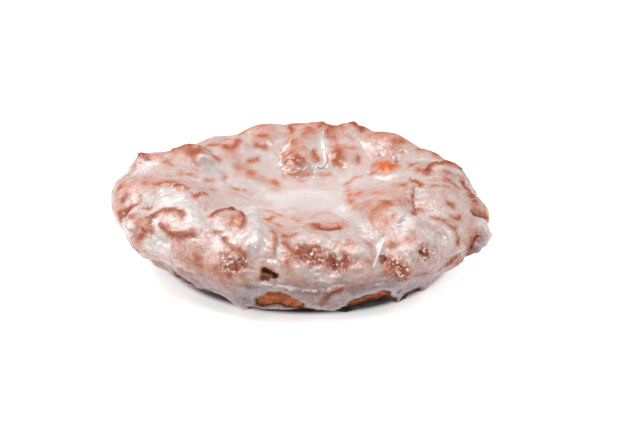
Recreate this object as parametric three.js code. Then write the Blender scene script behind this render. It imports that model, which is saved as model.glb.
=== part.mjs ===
// Glazed apple fritter: one piece of fried yeast dough, chopped up with apple, pressed together and dipped
// in sugar glaze. It is an uneven oval loaf with a fat lumpy rim, a dished middle where the glaze has pooled,
// and a flat underside that stands in from the widest line.
//
// Millimetres, +Z up. The origin is under the middle of the loaf, on the surface that it rests on.
// +X is the loaf's long way, and -Y is its front, where a valley leads out of the dish and a low fold hangs.

import * as THREE from "three";
import { mergeVertices } from "three/addons/utils/BufferGeometryUtils.js";

// Driving dimensions of the plain loaf, at eight compass points counter-clockwise from +X, its right-hand end.
// out is the radius of the widest line, waist that line's height, crest the height of the rim's top,
// and inset how far the flat underside stands in from the widest line.
const COMPASS = [
  { out: 57.5, waist: 14.5, crest: 27, inset: 17 }, // right
  { out: 55, waist: 15, crest: 29, inset: 10 }, // back right
  { out: 50.5, waist: 15, crest: 31, inset: 9 }, // back
  { out: 56, waist: 17, crest: 29.5, inset: 11 }, // back left
  { out: 60.5, waist: 17.5, crest: 28, inset: 18 }, // left
  { out: 54.5, waist: 14.5, crest: 24.5, inset: 16 }, // front left
  { out: 50, waist: 11, crest: 22.5, inset: 6.5 }, // front
  { out: 53.5, waist: 11.5, crest: 23.5, inset: 13 }, // front right
];
const DISH_HEIGHT = 19; // floor of the dish, over the surface that the loaf rests on

// The section's in-between points, as shares of the sizes above.
const DISH_SHARE = 0.18; // the dish's level floor, of out
const SLOPE_OUT = 0.43; // the dish's slope, of out
const SLOPE_RISE = 0.5; // and of the way up from the floor to the crest
const CREST_OUT = 0.7; // the rim's crest, of out
const SHOULDER_OUT = 0.9; // the rim's outer shoulder, of out
const SHOULDER_RISE = 0.66; // and of the way up from the waist to the crest
const TUCK_IN = 0.42; // the lower flank, of inset
const TUCK_RISE = 0.36; // and of waist

// Lumps of dough and apple that stand out of the loaf. bearing is in degrees counter-clockwise from +X, share
// the way from the middle of the dish (0) over the rim to the underside's edge (1), reach the lump's radius
// and rise its height.
const LUMPS = [
  { bearing: 90, share: 0.28, reach: 8, rise: 2.6 }, // round knob behind the pool
  { bearing: 61, share: 0.34, reach: 7, rise: 2.3 }, // its neighbour, across a crevice
  { bearing: 20, share: 0.36, reach: 8, rise: 2.2 }, // apple chunk
  { bearing: 319, share: 0.41, reach: 14, rise: 3 }, // smooth lobe on the right of the valley
  { bearing: 342, share: 0.56, reach: 11.5, rise: 2.8 }, // right shoulder, across a crease from that lobe
  { bearing: 5, share: 0.5, reach: 8, rise: 2.4 }, // ridge along the right rim
  { bearing: 14, share: 0.61, reach: 8, rise: 2.2 }, // its outer end
  { bearing: 354, share: 0.69, reach: 8, rise: 2.6 }, // folded right-hand end
  { bearing: 343, share: 0.76, reach: 7, rise: 2.6 }, // the fold's lower end
  { bearing: 316, share: 0.68, reach: 10, rise: 2.8 }, // crags at the front right
  { bearing: 304, share: 0.75, reach: 7, rise: 2.4 },
  { bearing: 328, share: 0.74, reach: 7, rise: 2.2 },
  { bearing: 283, share: 0.5, reach: 10, rise: 1.6 }, // front crest, left of the valley
  { bearing: 289, share: 0.68, reach: 8, rise: 2.4 }, // crags below it
  { bearing: 275, share: 0.62, reach: 8, rise: 2.2 },
  { bearing: 266, share: 0.69, reach: 7, rise: 2.2 },
  { bearing: 252, share: 0.6, reach: 11, rise: 2.6 }, // smooth front lobe
  { bearing: 235, share: 0.49, reach: 8, rise: 2.2 }, // curled ridge behind it
  { bearing: 244, share: 0.71, reach: 8, rise: 2.4 }, // crag below it
  { bearing: 228, share: 0.63, reach: 8, rise: 2.6 }, // ridges at the front left
  { bearing: 216, share: 0.58, reach: 8, rise: 2.6 },
  { bearing: 207, share: 0.68, reach: 9, rise: 3.2 }, // dome at the left-hand end
  { bearing: 203, share: 0.47, reach: 13, rise: 2.4 }, // left shoulder
  { bearing: 184, share: 0.62, reach: 10, rise: 2 },
  { bearing: 163, share: 0.6, reach: 7, rise: 3.6 }, // peak behind it
  { bearing: 157, share: 0.45, reach: 9, rise: 2.2 }, // back left crest
  { bearing: 137, share: 0.42, reach: 10, rise: 2.2 },
  { bearing: 113, share: 0.45, reach: 11, rise: 2.4 },
  { bearing: 88, share: 0.46, reach: 10, rise: 2.2 }, // back crest
  { bearing: 65, share: 0.51, reach: 6, rise: 3 }, // pointed tip on it
  { bearing: 40, share: 0.5, reach: 11, rise: 2.4 }, // back right crest
];

// Lumps of the same kind that a seeded rule spreads over the rest of the rim and flank.
const SPREAD_TRIES = 90;
const SPREAD_SHARES = [0.48, 0.86];
const SPREAD_REACHES = [6, 10];
const SPREAD_RISE = 0.27; // of reach
const SPREAD_GAP = 0.72; // least distance between two lumps, of their reaches together
const SPREAD_SEED = 11;

// The valley by which glaze runs out of the dish to the front.
const VALLEY = {
  from: { bearing: 313, share: 0.22 },
  to: { bearing: 299, share: 0.67 },
  reach: 6,
  depth: 2,
};

// The low fold of dough and glaze that hangs along the front, under a level crease. Its width is in share.
const FOLD = { bearing: 266, halfArc: 52, share: 0.86, halfWidth: 0.085, rise: 1.8 };

const BLEND = 3; // sharpness of the creases where lumps meet, per millimetre of rise
const CALM_HEIGHT = 5; // the lumps fade out below this, down to the flat underside

// The skin is a geodesic sphere drawn over the loaf.
const SPHERE_DETAIL = 22; // splits of each edge of the twenty starting faces
const UNDERSIDE_SHARE = 0.25; // share of the way up the sphere that becomes the flat underside
const WELD = 1e-5; // corners of the sphere's faces closer than this are one

const { clamp, degToRad, euclideanModulo, lerp, smoothstep } = THREE.MathUtils;
const TURN = 2 * Math.PI;

/** A closed smooth curve through one size at the compass points, read at a compass angle. */
function aroundTheCompass(size) {
  const points = COMPASS.map((side) => side[size]);
  return (angle) => {
    const place = (euclideanModulo(angle, TURN) / TURN) * points.length;
    const i = Math.floor(place);
    const pointAt = (k) => points[euclideanModulo(k, points.length)];
    const [before, from, to, after] = [i - 1, i, i + 1, i + 2].map(pointAt);
    const t = place - i;
    const leave = (to - before) / 2;
    const arrive = (after - from) / 2;
    const ends = (2 * t ** 3 - 3 * t ** 2 + 1) * from + (3 * t ** 2 - 2 * t ** 3) * to;
    return ends + (t ** 3 - 2 * t ** 2 + t) * leave + (t ** 3 - t ** 2) * arrive;
  };
}
const outAt = aroundTheCompass("out");
const waistAt = aroundTheCompass("waist");
const crestAt = aroundTheCompass("crest");
const insetAt = aroundTheCompass("inset");

/** The loaf's section at a compass angle, from the middle of the dish over the rim to the underside's edge. */
function sectionAt(angle) {
  const out = outAt(angle);
  const waist = waistAt(angle);
  const crest = crestAt(angle);
  const inset = insetAt(angle);
  return new THREE.SplineCurve([
    new THREE.Vector2(0, DISH_HEIGHT),
    new THREE.Vector2(DISH_SHARE * out, DISH_HEIGHT),
    new THREE.Vector2(SLOPE_OUT * out, lerp(DISH_HEIGHT, crest, SLOPE_RISE)),
    new THREE.Vector2(CREST_OUT * out, crest),
    new THREE.Vector2(SHOULDER_OUT * out, lerp(waist, crest, SHOULDER_RISE)),
    new THREE.Vector2(out, waist),
    new THREE.Vector2(out - TUCK_IN * inset, TUCK_RISE * waist),
    new THREE.Vector2(out - inset, 0),
  ]);
}

/** A point of the plain loaf's top and flank. */
function loafPoint(angle, share) {
  const { x: radius, y: height } = sectionAt(angle).getPointAt(share);
  return new THREE.Vector3(radius * Math.cos(angle), radius * Math.sin(angle), height);
}

/** A repeatable stream of random numbers from 0 to 1, by the usual 32-bit congruence. */
function randomStream(seed) {
  const [multiplier, increment, range] = [1664525, 1013904223, 2 ** 32];
  let state = seed;
  return () => {
    state = (Math.imul(state, multiplier) + increment) >>> 0;
    return state / range;
  };
}

/** The point of the plain loaf at a bearing in degrees and a share. */
function placeOf({ bearing, share }) {
  return loafPoint(degToRad(bearing), share);
}

/** The listed lumps, then the spread ones that find room between them, each with its middle on the loaf. */
function allLumps() {
  const lumps = LUMPS.map((lump) => ({ middle: placeOf(lump), reach: lump.reach, rise: lump.rise }));
  const random = randomStream(SPREAD_SEED);
  for (let i = 0; i < SPREAD_TRIES; i++) {
    const middle = loafPoint(TURN * random(), lerp(...SPREAD_SHARES, random()));
    const reach = lerp(...SPREAD_REACHES, random());
    const hasRoom = (other) => middle.distanceTo(other.middle) > SPREAD_GAP * (reach + other.reach);
    if (lumps.every(hasRoom)) {
      lumps.push({ middle, reach, rise: SPREAD_RISE * reach });
    }
  }
  return lumps;
}

/** The low fold's rise at a compass angle and share: a roll that fades out at both ends. */
function foldRise(angle, share) {
  const aside = euclideanModulo(angle - degToRad(FOLD.bearing) + Math.PI, TURN) - Math.PI;
  const along = 1 - (aside / degToRad(FOLD.halfArc)) ** 2;
  const across = 1 - ((share - FOLD.share) / FOLD.halfWidth) ** 2;
  return FOLD.rise * Math.min(along, across);
}

const lumps = allLumps();
const valley = new THREE.Line3(placeOf(VALLEY.from), placeOf(VALLEY.to));

/** A lump's rise at a point of the loaf: a dome that goes on falling outside the lump's reach. */
function domeRise(lump, point) {
  return lump.rise * (1 - point.distanceToSquared(lump.middle) / lump.reach ** 2);
}

/** How far the lumps, fold and valley move the plain loaf's skin outwards at a point of it. */
function relief(point, angle, share) {
  const rises = lumps.map((lump) => domeRise(lump, point));
  rises.push(foldRise(angle, share));
  const together = rises.reduce((sum, rise) => sum + Math.exp(BLEND * rise), 1);
  const aside = valley.closestPointToPoint(point, true, new THREE.Vector3()).distanceTo(point);
  const cut = VALLEY.depth * (1 - smoothstep(aside, 0, VALLEY.reach));
  return (Math.log(together) / BLEND - cut) * smoothstep(point.z, 0, CALM_HEIGHT);
}

const sphere = new THREE.IcosahedronGeometry(1, SPHERE_DETAIL);
sphere.deleteAttribute("normal");
sphere.deleteAttribute("uv");
const geometry = mergeVertices(sphere, WELD);
const skin = geometry.getAttribute("position");

// The plain loaf first, for the directions in which its skin is then moved.
const moves = [];
for (let i = 0; i < skin.count; i++) {
  const direction = new THREE.Vector3().fromBufferAttribute(skin, i).normalize();
  const angle = Math.atan2(direction.y, direction.x);
  const fall = Math.acos(clamp(direction.z, -1, 1)) / Math.PI;
  const share = Math.min(1, fall / (1 - UNDERSIDE_SHARE));
  const inward = Math.min(1, (1 - fall) / UNDERSIDE_SHARE);
  const point = loafPoint(angle, share);
  moves.push(relief(point, angle, share));
  skin.setXYZ(i, point.x * inward, point.y * inward, point.z);
}
geometry.computeVertexNormals();

const outward = geometry.getAttribute("normal");
moves.forEach((move, i) => {
  const direction = new THREE.Vector3().fromBufferAttribute(outward, i);
  const point = new THREE.Vector3().fromBufferAttribute(skin, i).addScaledVector(direction, move);
  skin.setXYZ(i, point.x, point.y, point.z);
});

// The origin goes under the middle of the whole loaf.
geometry.computeBoundingBox();
const middle = geometry.boundingBox.getCenter(new THREE.Vector3());
geometry.translate(-middle.x, -middle.y, 0);
geometry.computeVertexNormals();

const glazedDough = new THREE.MeshStandardMaterial({ color: 0xd0aea5, roughness: 0.3, metalness: 0 });
const fritter = new THREE.Mesh(geometry, glazedDough);
fritter.name = "fritter";

const part = new THREE.Group();
part.add(fritter);

export default part;
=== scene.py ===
"""A glazed apple fritter: craggy fried dough under a coat of set sugar glaze, on a white table.

The loaf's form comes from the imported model. Strokes along pixels of the photograph's 631 by 440 frame place
the ridges, peaks, pits, creases, pours and bare arches that show there, and seeded noise carries the same
surface round the sides that don't show.
"""

import logging
import math
from dataclasses import dataclass, fields
from enum import Enum
from functools import cached_property
from typing import Union

import bmesh
import bpy
import numpy as np
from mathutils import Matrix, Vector, noise
from mathutils.bvhtree import BVHTree


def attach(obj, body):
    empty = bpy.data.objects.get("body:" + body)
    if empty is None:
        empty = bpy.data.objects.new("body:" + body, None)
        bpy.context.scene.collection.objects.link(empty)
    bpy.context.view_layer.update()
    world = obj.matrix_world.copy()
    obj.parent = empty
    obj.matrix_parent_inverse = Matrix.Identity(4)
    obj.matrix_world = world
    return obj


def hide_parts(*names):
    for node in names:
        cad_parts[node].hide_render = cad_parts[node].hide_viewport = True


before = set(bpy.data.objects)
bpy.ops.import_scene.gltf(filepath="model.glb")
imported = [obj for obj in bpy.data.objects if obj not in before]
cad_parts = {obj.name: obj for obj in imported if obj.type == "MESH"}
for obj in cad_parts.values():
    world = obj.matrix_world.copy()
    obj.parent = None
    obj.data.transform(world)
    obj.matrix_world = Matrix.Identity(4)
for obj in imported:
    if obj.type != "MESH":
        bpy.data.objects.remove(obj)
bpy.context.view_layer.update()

NODE = "fritter"
BODY = "root"
MM = 0.001
FRAME_WIDTH, FRAME_HEIGHT = 631, 440
WHITE = (1.0, 1.0, 1.0, 1.0)

Socket = bpy.types.NodeSocket
Wire = Union["Value", float, int, str, tuple, bpy.types.Material]
Inputs = dict[str | int, Wire]
Pixel = tuple[float, float]
Triple = tuple[float, float, float]
Colour = tuple[float, float, float, float]

log = logging.getLogger("fritter")


class Slot(Enum):
    """The record's material slots."""

    DOUGH = "glazed_dough"
    GLAZE = "sugar_glaze"


class Coat(Enum):
    """How thickly the glaze lies on a mark, in millimetres."""

    BROKEN = 0.0
    THIN = 0.05
    FAINT = 0.14
    TINTED = 0.22
    BLUSH = 0.38
    EVEN = 0.47
    THICK = 0.7
    POURED = 1.2


# How far glaze of a kind clings where it would run off, from 0 to 1.
CLINGING = {Coat.POURED: 1.0, Coat.THICK: 0.5}


@dataclass(frozen=True)
class Stroke:
    """One mark on the loaf, along pixels of the photograph's frame.

    Attributes:
        name: what the mark is.
        pixels: the line that it follows.
        reach: half its width, in millimetres.
        rise: how far it stands out, in millimetres; a groove or pit is below 0.
        coat: how the glaze lies on it, or None to leave the glaze as it is.
        rough: how crystalline its surface is, from 0 to 1.
        apple: how much orange apple shows in it, from 0 to 1.
    """

    name: str
    pixels: tuple[Pixel, ...]
    reach: float
    rise: float = 0.0
    coat: Coat | None = None
    rough: float = 0.0
    apple: float = 0.0


# Stretches of crystalline surface.
ROUGH_ZONES = (
    Stroke("front bank", ((283, 243), (310, 252), (345, 262)), 5.0, 0.0, None, 0.45),
    Stroke("front right", ((382, 256), (410, 272)), 4.5, 0.0, None, 0.36),
    Stroke("front left", ((215, 255), (250, 268)), 3.6, 0.0, None, 0.42),
    Stroke("shell", ((416, 250), (440, 244)), 4.0, 0.0, Coat.THICK, 0.42),
    Stroke("right flank", ((440, 224), (456, 238)), 4.0, 0.0, Coat.THICK, 0.38),
    Stroke("left end", ((122, 214), (138, 205)), 2.6, 0.0, None, 0.4),
    Stroke("above the lower curl", ((198, 230), (212, 236)), 3.0, 0.0, None, 0.38),
    Stroke("right edge", ((468, 184), (478, 200)), 2.0, 0.0, None, 0.45),
    Stroke("second knob", ((280, 155), (286, 166)), 1.6, 0.0, None, 0.4),
    Stroke("right lobe", ((376, 204), (400, 210)), 4.0, 0.0, None, 0.3),
)

# Large lumps and dents of the loaf.
LOBES = (
    Stroke("left end's upper flank", ((119, 192), (126, 182), (134, 172)), 6.0, 1.8),
    Stroke("back left crest's end", ((174, 155), (190, 149)), 7.0, 0.9),
    Stroke("dip in the back left crest", ((206, 139), (216, 136), (226, 133)), 6.0, -2.0),
    Stroke("back crest's right part", ((328, 128), (342, 129)), 4.0, 1.5),
    Stroke("back right crest", ((372, 136), (392, 139)), 6.0, 1.2),
    Stroke("back right rim", ((424, 156), (435, 160)), 3.2, 2.4),
    Stroke("right end's upper edge", ((474, 192), (484, 205)), 6.0, -0.5),
    Stroke("left dome", ((133, 225), (143, 229)), 4.0, 1.9, Coat.EVEN),
    Stroke("notch under the left end", ((157, 263), (165, 268)), 3.4, -2.4),
    Stroke("knob behind the pool", ((294, 146), (298, 166)), 5.4, 1.5, Coat.BLUSH),
    Stroke("knob's right-hand twin", ((336, 142), (338, 158)), 4.2, 0.6, Coat.TINTED),
    Stroke("dent in the back right slope", ((384, 150), (396, 155)), 5.0, -0.5),
    Stroke("right lobe, upper part", ((356, 199), (380, 195), (400, 190)), 4.6, 0.9, Coat.BLUSH),
    Stroke("right lobe, middle", ((362, 207), (385, 208), (406, 206)), 4.0, 0.8, Coat.BLUSH),
    Stroke("right lobe, foot", ((374, 220), (390, 228)), 3.6, 0.6, Coat.BLUSH),
    # The white poured glaze on this lump is partly painted highlight.
    Stroke("lump under the bright spot", ((401, 221), (413, 225)), 3.4, 2.2, Coat.POURED),
    Stroke("inside of the hook", ((234, 221), (236, 228)), 2.6, 0.8, Coat.BLUSH),
    Stroke("left flank", ((197, 257), (199, 264)), 2.0, 0.5, Coat.TINTED),
    Stroke("below the bright lump", ((408, 241), (420, 240)), 1.8, 0.4, Coat.TINTED),
    Stroke("beside the string", ((371, 248), (366, 270)), 2.4, 0.4, Coat.TINTED),
    Stroke("front right flank", ((410, 266), (424, 268)), 2.0, 0.3, Coat.THICK),
    Stroke("long lump left of the pool", ((237, 169), (252, 175)), 2.4, 0.6, Coat.TINTED),
    Stroke("end of the long lump", ((262, 180), (270, 183), (277, 187)), 1.9, 0.6, Coat.TINTED),
    Stroke("back left crest", ((180, 152), (196, 156)), 3.0, 0.5, Coat.TINTED),
    Stroke("back crest", ((300, 127), (330, 128)), 3.0, 0.3, Coat.TINTED),
    # The white poured glaze on this roll is partly painted highlight.
    Stroke("rolled right edge", ((480, 224), (485, 233)), 2.6, 1.0, Coat.POURED),
    Stroke("foot of the rolled edge", ((485, 236), (482, 243), (475, 249), (467, 254)),
           1.2, 0.9, Coat.POURED),
)

# Runs and patches of glaze.
POURS = (
    Stroke("river to the pool", ((215, 168), (235, 183), (262, 195), (285, 198)), 3.2, 0.0, Coat.THICK),
    Stroke("left end's upper flank", ((117, 203), (120, 190), (128, 177), (138, 166)), 3.2, 0.0, Coat.THICK),
    Stroke("left end's edge", ((115, 224), (121, 234), (130, 243), (140, 251), (152, 257)),
           2.4, 0.0, Coat.THICK),
    Stroke("upper river", ((140, 172), (165, 172), (200, 180), (225, 186)), 2.6, 0.0, Coat.THICK),
    Stroke("lower river", ((208, 202), (230, 204), (255, 206), (288, 208)), 3.4, 0.0, Coat.THICK),
    Stroke("front of the pool", ((262, 210), (290, 213), (312, 212), (338, 213)), 3.0, 0.0, Coat.THICK),
    Stroke("front bank", ((305, 236), (322, 240), (335, 236)), 3.0, 0.0, Coat.THICK),
    Stroke("arm over the right lobe", ((344, 184), (372, 178), (398, 174), (410, 178)),
           2.0, 0.0, Coat.THICK),
    Stroke("valley", ((340, 205), (350, 216), (362, 228), (371, 237)), 2.2, 0.0, Coat.POURED),
    Stroke("right lobe's edge", ((349, 190), (349, 202), (356, 210), (371, 224), (381, 235)),
           1.5, 0.4, Coat.BLUSH),
    Stroke("left bank of the valley", ((345, 222), (355, 235), (360, 243)), 2.2, 0.0, Coat.THICK),
    # The white of this pour is partly painted highlight.
    Stroke("front left lobe", ((252, 212), (257, 228), (256, 240), (248, 250)), 2.5, 0.9, Coat.POURED),
    # The white of this pour is partly painted highlight.
    Stroke("left shoulder", ((162, 203), (178, 206), (192, 213), (197, 224)), 2.8, 0.0, Coat.POURED),
    Stroke("below the left spine", ((162, 192), (168, 199)), 1.8, 0.0, Coat.POURED),
    Stroke("right of the left spine", ((176, 196), (187, 199)), 1.4, 0.0, Coat.POURED),
    Stroke("low left flank", ((150, 248), (170, 258), (188, 268)), 2.8, 0.0, Coat.THICK),
    Stroke("right flank", ((428, 236), (446, 246), (456, 250)), 4.0, 0.0, Coat.THICK),
    Stroke("over the left dome", ((144, 198), (150, 203)), 1.6, 0.0, Coat.POURED),
    Stroke("back left patch", ((201, 161), (208, 162)), 1.3, 0.0, Coat.POURED),
    Stroke("back right field", ((364, 151), (390, 156)), 4.0, -0.3, Coat.BLUSH),
    Stroke("left of the knob", ((243, 153), (262, 156), (275, 159)), 1.8, 0.0, Coat.THICK),
    # The white of this pour is partly painted highlight.
    Stroke("between the knobs", ((324, 145), (325, 153)), 1.3, 0.0, Coat.POURED),
    Stroke("back right", ((352, 135), (380, 142), (405, 155)), 3.2, 0.0, Coat.EVEN),
    Stroke("behind the right ridge", ((398, 162), (424, 160)), 2.4, 0.0, Coat.THICK),
    Stroke("right shoulder", ((424, 195), (445, 196), (462, 206)), 4.0, 0.0, Coat.THICK),
    # The white of this pour is partly painted highlight.
    Stroke("under the right ridge", ((433, 168), (446, 169), (460, 172)), 1.0, -0.3, Coat.POURED),
    # The white of this pour is partly painted highlight.
    Stroke("beside the crease", ((418, 190), (423, 190)), 1.0, 0.0, Coat.POURED),
    Stroke("left of the lower curl", ((157, 224), (160, 231), (167, 237)), 0.9, -0.3, Coat.POURED),
    Stroke("line over the left dome", ((134, 212), (141, 212), (149, 217)), 0.8, -0.5, Coat.POURED),
    # The white of this pour is partly painted highlight.
    Stroke("bright side of the left dome", ((129, 226), (134, 231)), 1.4, 0.3, Coat.POURED),
    # The white of this pour is partly painted highlight.
    Stroke("below the left dome", ((150, 243), (160, 246), (170, 251)), 1.4, 0.2, Coat.POURED),
    # The white of this pour is partly painted highlight.
    Stroke("front right lump", ((361, 251), (366, 254)), 1.6, 0.5, Coat.POURED),
    Stroke("low band", ((196, 276), (240, 290), (300, 292), (345, 295), (395, 287), (440, 270)),
           2.8, 0.0, Coat.THICK),
    Stroke("left drip", ((236, 296), (243, 303), (248, 307)), 3.0, 0.4, Coat.THICK),
    Stroke("middle drip", ((314, 300), (330, 306)), 3.6, 0.4, Coat.THICK),
    Stroke("right drip", ((393, 293), (398, 297)), 2.2, 0.2, Coat.POURED),
    Stroke("far left drip", ((146, 258), (154, 261)), 2.4, 0.4, Coat.THICK),
    Stroke("low left tint", ((196, 266), (206, 268)), 2.6, 0.0, Coat.EVEN),
    Stroke("low right tint", ((414, 270), (440, 262), (454, 250)), 2.4, 0.0, Coat.THICK),
    Stroke("low front tint", ((294, 269), (328, 278), (366, 271)), 2.8, 0.0, Coat.THICK),
)

# Curls, ridges and rings that stand out.
RIDGES = (
    Stroke("left shoulder tip", ((141, 157), (148, 158)), 1.3, 1.5, Coat.FAINT, 0.3),
    Stroke("left shoulder crest", ((150, 159), (160, 159)), 1.1, 0.7, Coat.TINTED, 0.2),
    Stroke("rim of the left end", ((120, 214), (127, 211), (133, 208), (138, 206)),
           1.1, 0.8, Coat.THIN, 0.3),
    Stroke("edge of the left dome", ((146, 220), (152, 225), (155, 232)), 0.9, 0.2, Coat.THIN),
    Stroke("upper curl", ((152, 219), (158, 217), (164, 213), (175, 212), (183, 216)), 1.4, 1.4, Coat.THIN),
    Stroke("lower curl", ((162, 226), (167, 230), (175, 236), (184, 237), (192, 234)), 1.4, 1.4, Coat.THIN),
    Stroke("hook", ((213, 217), (223, 213), (233, 212), (240, 215), (243, 221), (242, 228)),
           1.3, 1.5, Coat.THIN),
    Stroke("tail", ((215, 232), (221, 236), (226, 242), (232, 248), (240, 249), (247, 256)),
           1.1, 1.2, Coat.THIN),
    Stroke("sliver", ((271, 233), (274, 238), (276, 244), (274, 252)), 0.8, 1.0, Coat.BROKEN),
    Stroke("left spine", ((158, 187), (166, 184), (174, 185), (182, 190)), 1.6, 1.1, Coat.TINTED, 0.4),
    Stroke("knot on the left spine", ((170, 189), (174, 187), (177, 190)), 1.0, 0.7, Coat.THIN, 0.6),
    Stroke("end of the left spine", ((193, 197), (198, 195), (206, 196)), 1.5, 1.2, Coat.FAINT, 0.5),
    Stroke("right ridge", ((428, 173), (430, 168), (434, 165), (443, 164), (453, 165), (462, 170)),
           1.4, 1.0, Coat.BROKEN, 0.3),
    Stroke("right edge", ((463, 184), (468, 191), (474, 200)), 2.0, 0.4, Coat.BROKEN, 0.6),
    Stroke("low front ridge", ((322, 302), (327, 296), (334, 292), (343, 288)), 1.2, 1.2, Coat.EVEN, 0.2),
    Stroke("lip over the gash", ((310, 221), (318, 216), (328, 215), (338, 219), (343, 223)),
           0.8, 0.6, Coat.EVEN),
    # The white of this string is partly painted glint.
    Stroke("string of glaze", ((384, 242), (379, 255), (373, 268)), 0.55, 0.4, Coat.THICK),
    # The white of this string is partly painted glint.
    Stroke("string round the knob", ((315, 164), (320, 168), (325, 164), (326, 157)), 0.6, 0.2, Coat.THICK),
    Stroke("shell, inner ring", ((412, 252), (418, 245), (428, 243), (435, 247), (435, 254)),
           0.9, 0.8, Coat.THICK),
    Stroke("shell, outer ring", ((432, 235), (441, 236), (446, 243), (443, 252)), 1.0, 0.8, Coat.THICK),
    Stroke("right flank", ((430, 219), (441, 221), (449, 226)), 0.9, 0.6, Coat.THIN),
    Stroke("right flank, lower", ((453, 229), (456, 236), (457, 243)), 1.3, 0.6, Coat.THIN),
    Stroke("right flank, upper", ((448, 217), (453, 221), (459, 218)), 0.9, 0.6, Coat.THIN, 0.5),
    Stroke("right fold", ((474, 207), (480, 212), (486, 219)), 1.3, 0.4, Coat.FAINT, 0.3),
    Stroke("edge of the right lobe", ((343, 187), (350, 184), (355, 179), (362, 178)), 0.7, 0.5, Coat.THIN),
    Stroke("front bank", ((333, 249), (338, 245), (342, 250)), 0.9, 0.6, Coat.EVEN),
    Stroke("low right ridge", ((437, 271), (447, 263), (457, 256)), 0.9, 0.5, Coat.THIN),
)

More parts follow.
